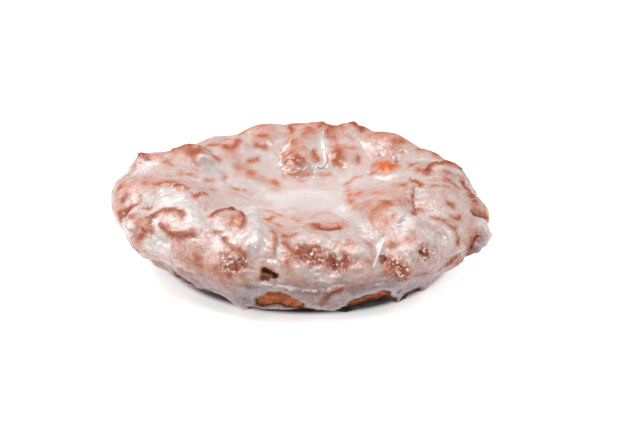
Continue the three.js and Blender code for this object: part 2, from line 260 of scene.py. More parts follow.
# Small knobs and spots where the dough shows through.
SPOTS = (
    Stroke("left shoulder knob", ((166, 164), (172, 168)), 0.9, 0.4, Coat.FAINT),
    Stroke("left end", ((121, 193), (126, 188)), 0.7, 0.3, Coat.FAINT),
    Stroke("left end", ((139, 197), (141, 202)), 0.9, 0.4, Coat.THIN),
    Stroke("over the left dome", ((143, 209), (151, 210)), 1.3, 0.3, Coat.THIN),
    Stroke("left slope", ((145, 184), (157, 184)), 2.0, 0.2, Coat.TINTED),
    Stroke("left river", ((180, 175), (188, 176), (195, 178)), 1.0, 0.4, Coat.FAINT),
    Stroke("left river", ((206, 182), (213, 182)), 1.2, 0.4, Coat.FAINT),
    Stroke("left river", ((209, 190), (215, 191)), 1.0, 0.5, Coat.FAINT),
    Stroke("left river", ((221, 174), (226, 177), (224, 181)), 1.1, 0.4, Coat.FAINT),
    Stroke("left river", ((236, 190), (243, 191)), 1.2, 0.3, Coat.FAINT),
    Stroke("back left", ((183, 150), (190, 149)), 1.2, 0.4, Coat.FAINT),
    Stroke("back left", ((190, 157), (191, 161)), 1.0, 0.3, Coat.FAINT),
    Stroke("back left", ((208, 145), (218, 144)), 1.1, 0.4, Coat.FAINT),
    Stroke("back left", ((211, 153), (215, 157), (219, 161)), 1.3, 0.5, Coat.FAINT),
    Stroke("back left", ((224, 147), (231, 149), (237, 147)), 1.4, 0.5, Coat.FAINT),
    Stroke("back", ((258, 136), (266, 136)), 1.1, 0.2, Coat.FAINT),
    Stroke("back", ((258, 147), (266, 148)), 1.5, 0.4, Coat.FAINT),
    Stroke("back", ((248, 162), (258, 161)), 1.3, 0.4, Coat.FAINT),
    Stroke("back crest", ((289, 128), (292, 132)), 1.3, 0.5, Coat.FAINT),
    Stroke("back tip", ((352, 124), (356, 127), (360, 130)), 1.2, 0.8, Coat.THIN),
    Stroke("knob's left side", ((282, 154), (287, 171)), 1.8, 0.1, Coat.FAINT, 0.3),
    Stroke("knob's right side", ((304, 149), (309, 158)), 1.0, 0.2, Coat.BLUSH),
    Stroke("knob's foot", ((293, 174), (304, 175)), 1.4, 0.2, Coat.BLUSH),
    Stroke("left foot of the knob", ((284, 178), (287, 176)), 1.0, 0.3, Coat.THIN),
    Stroke("second knob", ((313, 152), (317, 161)), 1.5, 0.6, Coat.THIN, 0.5),
    Stroke("third knob", ((336, 142), (338, 148)), 1.2, 0.1, Coat.TINTED),
    Stroke("third knob", ((335, 163), (341, 166)), 1.7, 0.1, Coat.TINTED),
    Stroke("knob by the pool", ((321, 176), (330, 175)), 1.4, 0.6, Coat.TINTED),
    Stroke("back right", ((358, 159), (359, 165)), 1.2, 0.4, Coat.FAINT),
    Stroke("back right", ((349, 138), (353, 142)), 0.8, 0.2, Coat.FAINT),
    Stroke("back right rim", ((417, 150), (423, 152)), 1.0, 0.3, Coat.FAINT),
    Stroke("back right", ((412, 165), (416, 169)), 1.4, 0.4, Coat.TINTED),
    Stroke("back right", ((418, 171), (426, 174)), 1.0, 0.3, Coat.FAINT),
    Stroke("apple chunk", ((376, 165), (394, 166)), 2.3, 0.3, Coat.TINTED, 0.0, 0.4),
    Stroke("heart of the apple chunk", ((385, 166), (388, 169)), 2.0, 0.6, Coat.THIN, 0.0, 1.0),
    Stroke("right lobe", ((350, 197), (359, 196)), 1.7, 0.1, Coat.TINTED, 0.0, 0.3),
    Stroke("right lobe", ((377, 196), (383, 197)), 1.3, 0.1, Coat.TINTED, 0.0, 0.3),
    Stroke("right lobe", ((393, 187), (405, 188)), 1.4, 0.2, Coat.TINTED),
    Stroke("right lobe", ((378, 210), (388, 209)), 1.8, 0.1, Coat.TINTED, 0.2, 0.25),
    Stroke("right lobe", ((384, 222), (392, 221)), 1.6, 0.1, Coat.TINTED, 0.0, 0.2),
    Stroke("foot of the crease", ((411, 214), (416, 214)), 1.3, 0.4, Coat.THIN),
    Stroke("top of the crease", ((412, 182), (418, 183), (421, 187)), 1.3, 0.5, Coat.THIN, 0.7),
    Stroke("right shoulder", ((430, 187), (438, 186)), 0.8, 0.3, Coat.FAINT),
    Stroke("right shoulder", ((444, 186), (448, 187)), 0.8, 0.2, Coat.FAINT),
    Stroke("right shoulder", ((453, 186), (460, 190)), 0.9, 0.3, Coat.FAINT),
    Stroke("right shoulder", ((448, 204), (453, 206)), 1.3, 0.3, Coat.FAINT),
    Stroke("right shoulder", ((419, 210), (423, 213)), 1.0, 0.2, Coat.FAINT),
    Stroke("right flank", ((427, 226), (434, 229), (440, 227)), 0.8, 0.2, Coat.FAINT),
    Stroke("front right", ((389, 247), (396, 244)), 1.4, 0.3, Coat.THIN, 0.4),
    Stroke("front crest", ((267, 221), (272, 218)), 1.4, 0.3, Coat.THIN, 0.0, 0.4),
    Stroke("front crest", ((276, 215), (281, 217)), 0.8, 0.3, Coat.BROKEN),
    Stroke("front crest", ((294, 219), (299, 222)), 0.8, 0.3, Coat.BROKEN),
    Stroke("front crest", ((277, 225), (282, 227)), 1.3, 0.2, Coat.THIN, 0.0, 0.3),
    Stroke("front bank", ((283, 236), (290, 237), (297, 235)), 0.9, 0.3, Coat.THIN, 0.4),
    Stroke("front bank", ((285, 243), (291, 248)), 1.4, 0.2, Coat.THIN, 0.3),
    Stroke("front bank", ((286, 258), (290, 268)), 1.2, 0.2, Coat.BLUSH),
)

# Rough pits.
PITS = (
    Stroke("front pit", ((302, 253), (309, 256), (316, 257)), 3.0, -0.9, Coat.BROKEN, 1.0),
    Stroke("front right pit", ((333, 262), (339, 265), (344, 262)), 2.5, -1.2, Coat.BROKEN, 1.0),
    Stroke("front left pit", ((226, 261), (233, 267), (241, 263)), 2.4, -0.9, Coat.BROKEN, 1.0),
    Stroke("dark pit", ((264, 270), (267, 272)), 1.0, -1.7, Coat.BROKEN, 0.7),
    Stroke("dark pit", ((271, 272), (274, 275)), 1.0, -1.7, Coat.BROKEN, 0.7),
    Stroke("right front crags", ((384, 260), (391, 262)), 1.7, -0.7, Coat.BROKEN, 1.0),
    Stroke("right front crags", ((393, 268), (403, 272)), 1.9, -0.6, Coat.THIN, 1.0),
    Stroke("middle of the shell", ((422, 251), (426, 257)), 1.6, -0.9, Coat.THIN, 1.0),
    Stroke("left end pit", ((121, 218), (126, 215)), 1.2, -0.8, Coat.BROKEN, 0.6),
    Stroke("gash", ((318, 226), (328, 227), (339, 225)), 1.9, -1.1, Coat.BROKEN, 0.2),
)

# Narrow grooves.
CREASES = (
    Stroke("right crease", ((414, 187), (413, 195), (414, 203), (416, 210)), 0.6, -1.0, Coat.THIN),
    Stroke("left of the knob", ((275, 148), (278, 156), (282, 166), (286, 177)), 0.8, -0.25, Coat.TINTED),
    Stroke("right of the knob", ((309, 147), (312, 155), (315, 164)), 0.8, -0.5, Coat.FAINT),
    Stroke("under the knob", ((288, 179), (298, 180), (308, 178), (313, 172)), 0.8, -0.2, Coat.TINTED),
    Stroke("under the apple", ((369, 175), (374, 173), (381, 174)), 0.6, -0.5, Coat.THIN),
    Stroke("front crease", ((262, 281), (284, 284), (303, 287), (327, 288), (348, 283)),
           0.8, -0.6, Coat.TINTED),
    Stroke("right fold", ((471, 211), (478, 215), (484, 219), (488, 224)), 0.7, -1.1, Coat.THIN),
    Stroke("under the rolled edge", ((479, 237), (475, 244), (472, 250), (468, 254)),
           1.1, -2.8, Coat.BROKEN),
    Stroke("left of the bright lump", ((401, 234), (396, 243)), 0.7, -0.5, Coat.TINTED),
    Stroke("low fold", ((190, 273), (210, 276), (230, 281), (255, 284)), 0.8, -0.5, Coat.TINTED),
    Stroke("low right fold", ((352, 284), (375, 283), (400, 279), (425, 272)), 0.8, -0.5, Coat.TINTED),
    Stroke("lower left fold", ((128, 240), (142, 251), (160, 259), (172, 265), (185, 271)), 0.8, -0.5),
    Stroke("left end", ((123, 204), (127, 197)), 0.7, -0.7, Coat.THIN),
)

# Drips that hang below the glaze's lower edge.
HEM_DRIPS = (
    Stroke("left drip", ((226, 301), (236, 305), (242, 307)), 2.0),
    Stroke("middle drip", ((318, 309), (332, 310)), 1.4),
    Stroke("right drip", ((392, 299), (398, 299)), 1.4),
    Stroke("far left drip", ((142, 259), (154, 262)), 2.6),
)

# Bare dough between the drips.
ARCHES = (
    Stroke("left arch", ((263, 302), (270, 299), (284, 300), (297, 306)), 2.1),
    Stroke("left arch's tail", ((295, 306), (308, 310)), 1.2),
    Stroke("right arch", ((354, 306), (368, 302), (384, 297)), 2.0),
    Stroke("far left arch", ((169, 269), (177, 275), (186, 281)), 1.7),
)

# The opening of the dark pit at the front.
DARK_PIT = (
    Stroke("upper part", ((264, 270), (267, 272)), 0.7),
    Stroke("right part", ((271, 273), (275, 275)), 0.6),
    Stroke("lower left part", ((262, 277), (264, 277)), 0.5),
    Stroke("lower part", ((268, 278), (269, 276)), 0.5),
)

# Its bottom, painted black as shade.
SHADED_PIT_BOTTOM = (
    Stroke("upper part", ((265, 271), (266, 273)), 0.35),
    Stroke("right part", ((272, 274), (274, 275)), 0.3),
)

# Where the loaf's foot stands further out.
FEET = (
    Stroke("left foot", ((246, 306), (264, 308)), 4.0, 2.5),
    Stroke("right foot", ((346, 308), (362, 305), (378, 301), (392, 298)), 4.0, 3.2),
    Stroke("foot at the right", ((405, 295), (414, 291), (421, 288)), 4.0, 3.0),
)

# Gaps under the front, bare and painted black as the shadow under the overhang, from these lines down to the
# table.
SHADOW_GAPS = (
    Stroke("left gap", ((187, 288), (196, 291)), 1.4),
    Stroke("wide left gap", ((205, 295), (212, 299), (220, 303)), 1.9),
    Stroke("gap left of the arch", ((247, 313), (262, 314)), 0.8),
    Stroke("gap under the arch", ((262, 314), (290, 314), (312, 314)), 0.9),
    Stroke("gap under the middle drip", ((316, 314), (345, 314)), 0.6),
    Stroke("gap under the right arch", ((346, 312), (366, 309), (388, 304)), 2.7),
    Stroke("right gap", ((405, 301), (411, 298), (419, 294)), 1.7),
)

# Threads of glaze that lie on the coat; their white is partly painted glint.
THREADS = (
    Stroke("string of glaze", ((384, 240), (381, 248), (377, 258), (372, 269)), 0.42),
    Stroke("string round the knob", ((316, 165), (320, 168), (324, 166), (326, 161), (325, 155)), 0.36),
)


class Draw(Enum):
    """Which noise a finish reads, so that no two of its patterns fall together."""

    CRUST = 1.0
    BURNT_SPECKS = 2.0
    MOTTLE = 3.0
    RIPPLE = 4.0
    GRAINS = 5.0
    GRIT = 6.0
    THIN_SPECKS = 8.0
    LAYERS = 9.0
    VEINS = 10.0
    WAVES = 11.0


class Value:
    """A node's output, which adds, multiplies and so on like a number."""

    def __init__(self, bench: "NodeBench", socket: Socket) -> None:
        """Keep the output and the bench that adds the next nodes."""
        self.bench = bench
        self.socket = socket

    def __add__(self, other: Wire) -> "Value":
        """The sum."""
        return self.bench.math("ADD", self, other)

    def __sub__(self, other: Wire) -> "Value":
        """The difference."""
        return self.bench.math("SUBTRACT", self, other)

    def __mul__(self, other: Wire) -> "Value":
        """The product."""
        return self.bench.math("MULTIPLY", self, other)

    def __truediv__(self, other: Wire) -> "Value":
        """The quotient."""
        return self.bench.math("DIVIDE", self, other)

    def __abs__(self) -> "Value":
        """The value without its sign."""
        return self.bench.math("ABSOLUTE", self)

    def rest(self) -> "Value":
        """What a share leaves of the whole."""
        return self.bench.math("SUBTRACT", 1.0, self)

    def at_least(self, other: Wire) -> "Value":
        """The greater of two values."""
        return self.bench.math("MAXIMUM", self, other)

    def at_most(self, other: Wire) -> "Value":
        """The smaller of two values."""
        return self.bench.math("MINIMUM", self, other)

    def up(self) -> "Value":
        """A vector's part along Z."""
        return self.bench.out("ShaderNodeSeparateXYZ", {0: self}, 2)

    def span(self, low: Wire, high: Wire, start: Wire = 0.0, end: Wire = 1.0) -> "Value":
        """Ease the value from one range to another, with both ends held.

        Args:
            low: where the first range starts.
            high: where it ends.
            start: what low becomes.
            end: what high becomes.

        Returns:
            The mapped value.
        """
        inputs = {"Value": self, "From Min": low, "From Max": high, "To Min": start, "To Max": end}
        return self.bench.out("ShaderNodeMapRange", inputs, interpolation_type="SMOOTHSTEP")


class NodeBench:
    """Adds nodes to one node tree, and wires each input to a value or to another node's output."""

    def __init__(self, tree: bpy.types.NodeTree) -> None:
        """Keep the tree that the nodes go into."""
        self.tree = tree

    def feed(self, made: bpy.types.Node, place: str | int, value: Wire) -> None:
        """Wire an output to one input of a node, or set a plain value on it.

        Args:
            made: the node.
            place: the input's name or place.
            value: the output or the value.
        """
        if isinstance(value, Value):
            self.tree.links.new(value.socket, made.inputs[place])
        else:
            made.inputs[place].default_value = value

    def node(self, kind: str, inputs: Inputs | None = None, **settings: object) -> bpy.types.Node:
        """Add one node.

        Args:
            kind: the node's type.
            inputs: a value or an output for each input, by the input's name or place.
            settings: properties of the node.

        Returns:
            The node.
        """
        made = self.tree.nodes.new(kind)
        for name, value in settings.items():
            setattr(made, name, value)
        for place, value in (inputs or {}).items():
            self.feed(made, place, value)
        return made

    def out(
        self, kind: str, inputs: Inputs | None = None, place: str | int = 0, **settings: object
    ) -> Value:
        """Add one node and take the output at a place, its first unless another is named."""
        return Value(self, self.node(kind, inputs, **settings).outputs[place])

    def math(self, operation: str, *values: Wire) -> Value:
        """Add a math node with its inputs in order."""
        return self.out("ShaderNodeMath", dict(enumerate(values)), operation=operation)

    def vector(self, operation: str, first: Wire, second: Wire) -> Value:
        """Add a vector math node; a number may scale the first vector.

        Args:
            operation: what it works out, such as ADD or SCALE.
            first: the first vector.
            second: the second vector, or the number to scale by.

        Returns:
            Its output vector.
        """
        second_place = "Scale" if operation == "SCALE" else 1
        return self.out("ShaderNodeVectorMath", {0: first, second_place: second}, operation=operation)

    def noise(self, where: Wire, size: float, detail: float, seed: Wire, rough: float = 0.5) -> Value:
        """Add noise of about 0 to 1.

        Args:
            where: the place that it is read at.
            size: the width of its largest lumps, in the units of that place.
            detail: how many finer layers it has.
            seed: which noise of this kind it is.
            rough: how strong the finer layers are.

        Returns:
            The noise.
        """
        inputs = {"Vector": where, "W": seed, "Scale": 1 / size, "Detail": detail, "Roughness": rough}
        return self.out("ShaderNodeTexNoise", inputs, noise_dimensions="4D")

    def drift(self, where: Wire, size: float, detail: float, seed: Wire, rough: float = 0.5) -> Value:
        """Add noise of about -0.5 to 0.5, from the same values as noise."""
        return self.noise(where, size, detail, seed, rough) - 0.5

    def cells(self, where: Wire, seed: Wire, **settings: object) -> bpy.types.Node:
        """Add cells of one unit's width, each with a colour of its own drawn from the seed."""
        inputs = {"Vector": where, "W": seed, "Scale": 1.0}
        return self.node("ShaderNodeTexVoronoi", inputs, voronoi_dimensions="4D", **settings)

    def middles(self, cells: bpy.types.Node) -> Value:
        """The distance from the nearest cell's middle, in cell widths."""
        return Value(self, cells.outputs["Distance"])

    def chance(self, cells: bpy.types.Node) -> Value:
        """A number from 0 to 1 drawn for each cell."""
        return self.out("ShaderNodeSeparateXYZ", {0: Value(self, cells.outputs["Color"])})

    def mix(self, share: Wire, first: Wire, second: Wire, blend: str = "MIX") -> Value:
        """Mix two colours.

        Args:
            share: how much of the second.
            first: the first colour.
            second: the second colour.
            blend: the way of mixing.

        Returns:
            The mixed colour.
        """
        first_place, second_place, result = 6, 7, 2
        inputs = {0: share, first_place: first, second_place: second}
        return self.out("ShaderNodeMix", inputs, result, data_type="RGBA", blend_type=blend)

    def attribute(self, name: str) -> Value:
        """Read one of the mesh's named attributes in a material."""
        return self.out("ShaderNodeAttribute", None, "Fac", attribute_name=name)

    def bump(self, strength: float, distance: float, height: Wire) -> Value:
        """Turn a height into the way that the surface faces.

        Args:
            strength: how strong the relief is, from 0 to 1.
            distance: how high a height of 1 is, in metres.
            height: the height.

        Returns:
            The surface's normal.
        """
        return self.out("ShaderNodeBump", {"Strength": strength, "Distance": distance, "Height": height})


class ShapeTree(NodeBench):
    """A geometry node tree with a mesh going in, a mesh coming out and named sizes."""

    def __init__(self, name: str, sizes: dict[str, float | int]) -> None:
        """Make the tree and its inputs.

        Args:
            name: the tree's name.
            sizes: the named inputs, each with its value.
        """
        super().__init__(bpy.data.node_groups.new(name, "GeometryNodeTree"))
        sides = self.tree.interface
        sides.new_socket("Geometry", in_out="INPUT", socket_type="NodeSocketGeometry")
        sides.new_socket("Geometry", in_out="OUTPUT", socket_type="NodeSocketGeometry")
        self.values: dict[str, float | int] = {}
        for title, value in sizes.items():
            kind = "NodeSocketInt" if isinstance(value, int) else "NodeSocketFloat"
            socket = sides.new_socket(title, in_out="INPUT", socket_type=kind)
            self.values[socket.identifier] = value
        self.entry = self.node("NodeGroupInput")
        self.start = self.size("Geometry")
        self.where = self.out("GeometryNodeInputPosition")

    def size(self, title: str) -> Value:
        """The output that gives a named size, or the mesh that goes in."""
        return Value(self, self.entry.outputs[title])

    def seed(self, step: int) -> Value:
        """The tree's seed with a step added, for one of its several noises."""
        return self.size("Seed") + step

    def counted_in(self, title: str) -> Value:
        """Each point's place, counted in a named size."""
        return self.vector("SCALE", self.where, self.math("DIVIDE", 1.0, self.size(title)))

    def read(self, name: str, kind: str = "FLOAT") -> Value:
        """Read a named attribute of the mesh's points."""
        return self.out("GeometryNodeInputNamedAttribute", {"Name": name}, data_type=kind)

    def outward(self) -> Value:
        """The way that the bare loaf faces at each point, as the dough keeps it."""
        return self.read("outward", "FLOAT_VECTOR")

    def keep(self, mesh: Value, name: str, value: Value, kind: str = "FLOAT") -> Value:
        """Store a value as a named attribute of the mesh's points.

        Args:
            mesh: the mesh.
            name: the attribute's name.
            value: the value at each point.
            kind: the attribute's type.

        Returns:
            The mesh with the attribute.
        """
        inputs = {"Geometry": mesh, "Name": name, "Value": value}
        return self.out("GeometryNodeStoreNamedAttribute", inputs, data_type=kind, domain="POINT")

    def blur(self, value: Value, steps: Wire, kind: str = "FLOAT") -> Value:
        """Even a value out over a number of neighbouring points."""
        inputs = {"Value": value, "Iterations": steps}
        return self.out("GeometryNodeBlurAttribute", inputs, data_type=kind)

    def finish(self, mesh: Value, material: bpy.types.Material) -> None:
        """End the tree: realize the instances, set the material and send the mesh out.

        Args:
            mesh: the mesh.
            material: its material.
        """
        real = self.out("GeometryNodeRealizeInstances", {"Geometry": mesh})
        dressed = self.out("GeometryNodeSetMaterial", {"Geometry": real, "Material": material})
        self.node("NodeGroupOutput", {"Geometry": dressed})

    def run(self, start: bpy.types.Object, name: str) -> bpy.types.Object:
        """Run the tree on a mesh.

        Args:
            start: the object whose mesh goes in; it is left as it was.
            name: the new object's name.

        Returns:
            A new object with the resulting plain mesh.
        """
        modifier = start.modifiers.new(self.tree.name, "NODES")
        modifier.node_group = self.tree
        for identifier, value in self.values.items():
            modifier[identifier] = value
        mesh = plain_mesh(start)
        start.modifiers.remove(modifier)
        return new_piece(name, mesh)


def plain_mesh(source: bpy.types.Object) -> bpy.types.Mesh:
    """Turn an object with its modifiers into a plain mesh.

    Args:
        source: the object.

    Returns:
        The mesh, with its attributes and materials.
    """
    depsgraph = bpy.context.evaluated_depsgraph_get()
    evaluated = source.evaluated_get(depsgraph)
    return bpy.data.meshes.new_from_object(evaluated, preserve_all_data_layers=True, depsgraph=depsgraph)


def new_piece(name: str, mesh: bpy.types.Mesh) -> bpy.types.Object:
    """Put a mesh in the scene, at the origin.

    Args:
        name: the object's name.
        mesh: the mesh.

    Returns:
        The object.
    """
    piece = bpy.data.objects.new(name, mesh)
    bpy.context.scene.collection.objects.link(piece)
    mesh.name = name
    mesh.shade_smooth()
    return piece


def titled_sizes(part: object) -> dict[str, float | int]:
    """A part's sizes under the titles that its node tree shows.

    Args:
        part: the part, a dataclass whose sizes are its numbers.

    Returns:
        Each number by its title, such as Crag Size for crag_size.
    """
    values = {entry.name: getattr(part, entry.name) for entry in fields(part)}
    numbers = {name: value for name, value in values.items() if isinstance(value, (int, float))}
    return {name.replace("_", " ").title(): value for name, value in numbers.items()}


def eased(share: np.ndarray) -> np.ndarray:
    """Ease shares from 0 to 1, with both ends held."""
    held = np.clip(share, 0.0, 1.0)
    return held * held * (3.0 - 2.0 * held)


@dataclass
class PhotoCamera:
    """The camera, at the photograph's viewing angle.

    Attributes:
        elevation: its angle above the table, in degrees.
        distance: from the aim, in metres.
        lens: its focal length, in millimetres.
        sensor: its sensor's width, in millimetres.
        aim: the point that it looks at, in metres.
        nearest: how near it sees, in metres.
    """

    elevation: float = 22.0
    distance: float = 0.62
    lens: float = 110.0
    sensor: float = 36.0
    aim: Triple = (0.0046, 0.0, 0.0125)
    nearest: float = 0.01

    def place(self) -> Vector:
        """The camera's place, in metres."""
        tilt = math.radians(self.elevation)
        return Vector(self.aim) + self.distance * Vector((0.0, -math.cos(tilt), math.sin(tilt)))

    def build(self) -> bpy.types.Object:
        """Make the camera and look through it.

        Returns:
            The camera.
        """
        data = bpy.data.cameras.new("photo_camera")
        data.lens = self.lens
        data.sensor_width = self.sensor
        data.clip_start = self.nearest
        camera = bpy.data.objects.new("photo_camera", data)
        bpy.context.scene.collection.objects.link(camera)
        camera.location = self.place()
        camera.rotation_euler = (math.radians(90.0 - self.elevation), 0.0, 0.0)
        bpy.context.scene.camera = camera
        return camera

    def ray(self, pixel: Pixel | Vector) -> Vector:
        """The direction in which a pixel of the photograph's frame looks.

        Args:
            pixel: the pixel, from the frame's upper left corner.

        Returns:
            The unit direction.
        """
        tilt = math.radians(self.elevation)
        forward = Vector((0.0, math.cos(tilt), -math.sin(tilt)))
        upward = Vector((0.0, math.sin(tilt), math.cos(tilt)))
        per_pixel = self.sensor / self.lens / FRAME_WIDTH
        across = (pixel[0] - FRAME_WIDTH / 2) * per_pixel
        rise = (FRAME_HEIGHT / 2 - pixel[1]) * per_pixel
        return (forward + across * Vector((1.0, 0.0, 0.0)) + rise * upward).normalized()


@dataclass
class LoafSkin:
    """The loaf's bare form as a fine even mesh, with the photograph's marks as attributes of its points.

    Attributes:
        camera: the camera that the marks are seen by.
        grain: the mesh's edge length, in metres.
        smoothing: how often its points are evened out.
        waver: how far the marks' outlines wander, in metres.
        waver_size: the width of one such wander, in metres.
        fine_waver: how much stronger the finer wander is than the broad one.
        fine_share: how many finer wanders there are in a broad one.
        depth_share: what a length away from the camera counts for, as the photograph shows it shortened.
        form_edge: where a mark's form ends, in its reaches.
        coat_edge: where its glaze ends, in its reaches.
        rough_edge: where its crystals end, in its reaches.
        hem: height of the glaze's lower edge over the table at the front, in metres.
        back_hem: the same at the back.
        hem_waver: how much that edge goes up and down at the back, in metres.
        hem_turns: how often it does so, round the loaf.
        bare_depth: how far the bare dough lies in, in metres.
        back_coat: how much thicker the glaze is on the back flank, in millimetres.
        settle: height over which relief fades out above the table, in metres.
        pool_reach: radius in which glaze may stand level in the dish, in metres.
        seed: which way the marks' outlines wander; above 0.
    """

    camera: PhotoCamera
    grain: float = 0.55 * MM
    smoothing: int = 6
    waver: float = 0.5 * MM
    waver_size: float = 3.2 * MM
    fine_waver: float = 1.2
    fine_share: float = 3.0
    depth_share: float = 0.6
    form_edge: float = 1.3
    coat_edge: float = 1.6
    rough_edge: float = 2.0
    hem: float = 1.9 * MM
    back_hem: float = 3.4 * MM
    hem_waver: float = 2.2 * MM
    hem_turns: float = 3.0
    bare_depth: float = 0.9 * MM
    back_coat: float = 0.25
    settle: float = 2.5 * MM
    pool_reach: float = 24.0 * MM
    seed: int = 3

    def build(self) -> bpy.types.Object:
        """Make the mesh and draw the marks on it.

        Returns:
            The object, for the dough and the glaze to be made from.
        """
        self.make_mesh()
        self.wandered = self.wander()
        self.push_feet()
        names = ("rise", "rough", "apple", "open", "held")
        self.marks = {name: np.zeros(len(self.points)) for name in names}
        self.marks["coat"] = Coat.EVEN.value + self.back_coat * self.back_flank()
        for stroke in ROUGH_ZONES + LOBES + POURS + RIDGES + SPOTS + PITS + CREASES:
            self.draw(stroke)
        inside = self.cover()
        self.marks["rise"] -= self.bare_depth / MM * (1.0 - eased(inside / MM + 1.0))
        self.marks["rise"] = self.marks["rise"] * MM * self.settled()
        self.marks["coat"] *= MM
        self.marks["cover"] = inside
        self.marks["settled"] = self.settled()
        self.marks["dish"] = self.dish()
        self.marks["outer"] = self.outer()
        self.marks["char"] = self.char()
        for name, values in self.marks.items():
            attribute = self.piece.data.attributes.new(name, "FLOAT", "POINT")
            attribute.data.foreach_set("value", values.astype(np.float32))
        return self.piece

    def make_mesh(self) -> None:
        """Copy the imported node, even out its triangles and keep its points."""
        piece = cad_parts[NODE].copy()
        piece.data = piece.data.copy()
        piece.parent = None
        bpy.context.scene.collection.objects.link(piece)
        weld = piece.modifiers.new("weld", "WELD")
        weld.merge_threshold = 0.001 * MM
        remesh = piece.modifiers.new("remesh", "REMESH")
        remesh.mode = "VOXEL"
        remesh.voxel_size = self.grain
        smooth = piece.modifiers.new("smooth", "SMOOTH")
        smooth.iterations = self.smoothing
        mesh = plain_mesh(piece)
        bpy.data.objects.remove(piece)
        self.join_underside(mesh)
        self.piece = new_piece("loaf_skin", mesh)
        self.points = np.empty(len(mesh.vertices) * 3)
        mesh.vertices.foreach_get("co", self.points)
        self.points = self.points.reshape(-1, 3)
        self.tree = BVHTree.FromObject(self.piece, bpy.context.evaluated_depsgraph_get())

    def join_underside(self, mesh: bpy.types.Mesh) -> None:
        """Make one face of the flat underside.

        Args:
            mesh: the loaf's mesh.
        """
        sculpt = bmesh.new()
        sculpt.from_mesh(mesh)
        flat = 0.02 * MM
        under = [face for face in sculpt.faces if max(corner.co.z for corner in face.verts) < flat]
        bmesh.ops.dissolve_faces(sculpt, faces=under, use_verts=False)
        sculpt.to_mesh(mesh)
        sculpt.free()

    def push_feet(self) -> None:
        """Move the loaf's foot outwards where the photograph shows it standing further out."""
        outward = self.points * np.array((1.0, 1.0, 0.0))
        outward /= np.maximum(np.linalg.norm(outward, axis=1), MM)[:, None]
        for foot in FEET:
            weight = 1.0 - eased(self.distance(foot) / self.form_edge)
            shift = foot.rise * MM * weight[:, None] * outward
            self.points = self.points + shift
            self.wandered = self.wandered + shift
        mesh = self.piece.data
        mesh.vertices.foreach_set("co", self.points.ravel())
        mesh.update()
        self.tree = BVHTree.FromObject(self.piece, bpy.context.evaluated_depsgraph_get())

    def wander(self) -> np.ndarray:
        """The points moved a little by noise, so that marks read at them get uneven outlines.

        Returns:
            The moved points.
        """
        noise.seed_set(self.seed)
        broad = [noise.noise_vector(Vector(point) / self.waver_size) for point in self.points]
        closer = [Vector(point) * self.fine_share / self.waver_size for point in self.points]
        fine = [noise.noise_vector(point) for point in closer]
        return self.points + self.waver * (np.array(broad) + self.fine_waver * np.array(fine))

    def cast(self, pixel: Pixel) -> np.ndarray:
        """The point of the loaf that a pixel of the photograph shows.

        Args:
            pixel: the pixel.

        Returns:
            The point, or where the pixel lies just outside, the point of the outline next to it.
        """
        start = self.camera.place()
        middle = Vector((FRAME_WIDTH / 2, FRAME_HEIGHT / 2))
        for share in np.arange(0.0, 1.0, 0.004):
            hit = self.tree.ray_cast(start, self.camera.ray(Vector(pixel).lerp(middle, share)))[0]
            if hit is not None:
                break
        return np.array(hit)

    def distance(self, stroke: Stroke, downwards: bool = False) -> np.ndarray:
        """How far each point is from a stroke's line.

        Args:
            stroke: the stroke.
            downwards: whether the stroke reaches from its line down to the table.

        Returns:
            The distances, in the stroke's reaches.
        """
        shortening = np.array((1.0, self.depth_share, 1.0))
        points = self.wandered * shortening
        line = [self.cast(pixel) * shortening for pixel in stroke.pixels]
        nearest = np.full(len(points), np.inf)
        for start, end in zip(line, line[1:]):
            along = end - start
            length = max(float(along @ along), 1e-12)
            share = np.clip((points - start) @ along / length, 0.0, 1.0)
            gaps = points - start - share[:, None] * along
            if downwards:
                gaps[:, 2] = np.maximum(gaps[:, 2], 0.0)
            nearest = np.minimum(nearest, np.linalg.norm(gaps, axis=1))
        return nearest / (stroke.reach * MM)

    def draw(self, stroke: Stroke) -> None:
        """Draw one stroke into the marks.

        Args:
            stroke: the stroke.
        """
        away = self.distance(stroke)
        weight = 1.0 - eased(away / self.form_edge)
        around = 1.0 - eased(away / self.rough_edge)
        marks = self.marks
        marks["rise"] += stroke.rise * weight
        marks["rough"] = np.maximum(marks["rough"], stroke.rough * around)
        marks["apple"] = np.maximum(marks["apple"], stroke.apple * weight)
        # Open grooves and pits keep no glaze filling, and the glaze's colour paints their depth dark as
        # shade.
        if stroke.rise < 0 and stroke.coat in (None, Coat.BROKEN, Coat.THIN):
            marks["open"] = np.maximum(marks["open"], around)
        if stroke.coat is not None:
            share = 1.0 - eased(away / self.coat_edge)
            marks["coat"] += (stroke.coat.value - marks["coat"]) * share
            marks["held"] += (CLINGING.get(stroke.coat, 0.0) - marks["held"]) * share

    def back_flank(self) -> np.ndarray:
        """How far each point is on the back flank, from 0 to 1."""
        backwards = eased(self.points[:, 1] / (20.0 * MM))
        return backwards * eased((24.0 * MM - self.points[:, 2]) / (8.0 * MM))

    def cover(self) -> np.ndarray:
        """How far inside the glaze's lower edge each point is.

        Returns:
            The distance in metres; below 0 where the dough is bare.
        """
        bearing = np.arctan2(self.points[:, 1], self.points[:, 0])
        ring = np.stack([np.cos(bearing), np.sin(bearing)], axis=1) * self.hem_turns
        noise_level = 7.5
        ups = np.array([noise.noise(Vector((x, y, noise_level))) for x, y in ring])
        at_back = eased(np.sin(bearing) + 0.6)
        hem = self.hem + at_back * (self.back_hem - self.hem + ups * self.hem_waver)
        inside = self.wandered[:, 2] - hem
        for drip in HEM_DRIPS:
            inside = np.maximum(inside, (1.0 - self.distance(drip)) * drip.reach * MM)
        for patch in ARCHES + SHADOW_GAPS + DARK_PIT + SHADED_PIT_BOTTOM:
            away = self.distance(patch, patch in SHADOW_GAPS)
            inside = np.minimum(inside, (away - 1.0) * patch.reach * MM)
        return inside

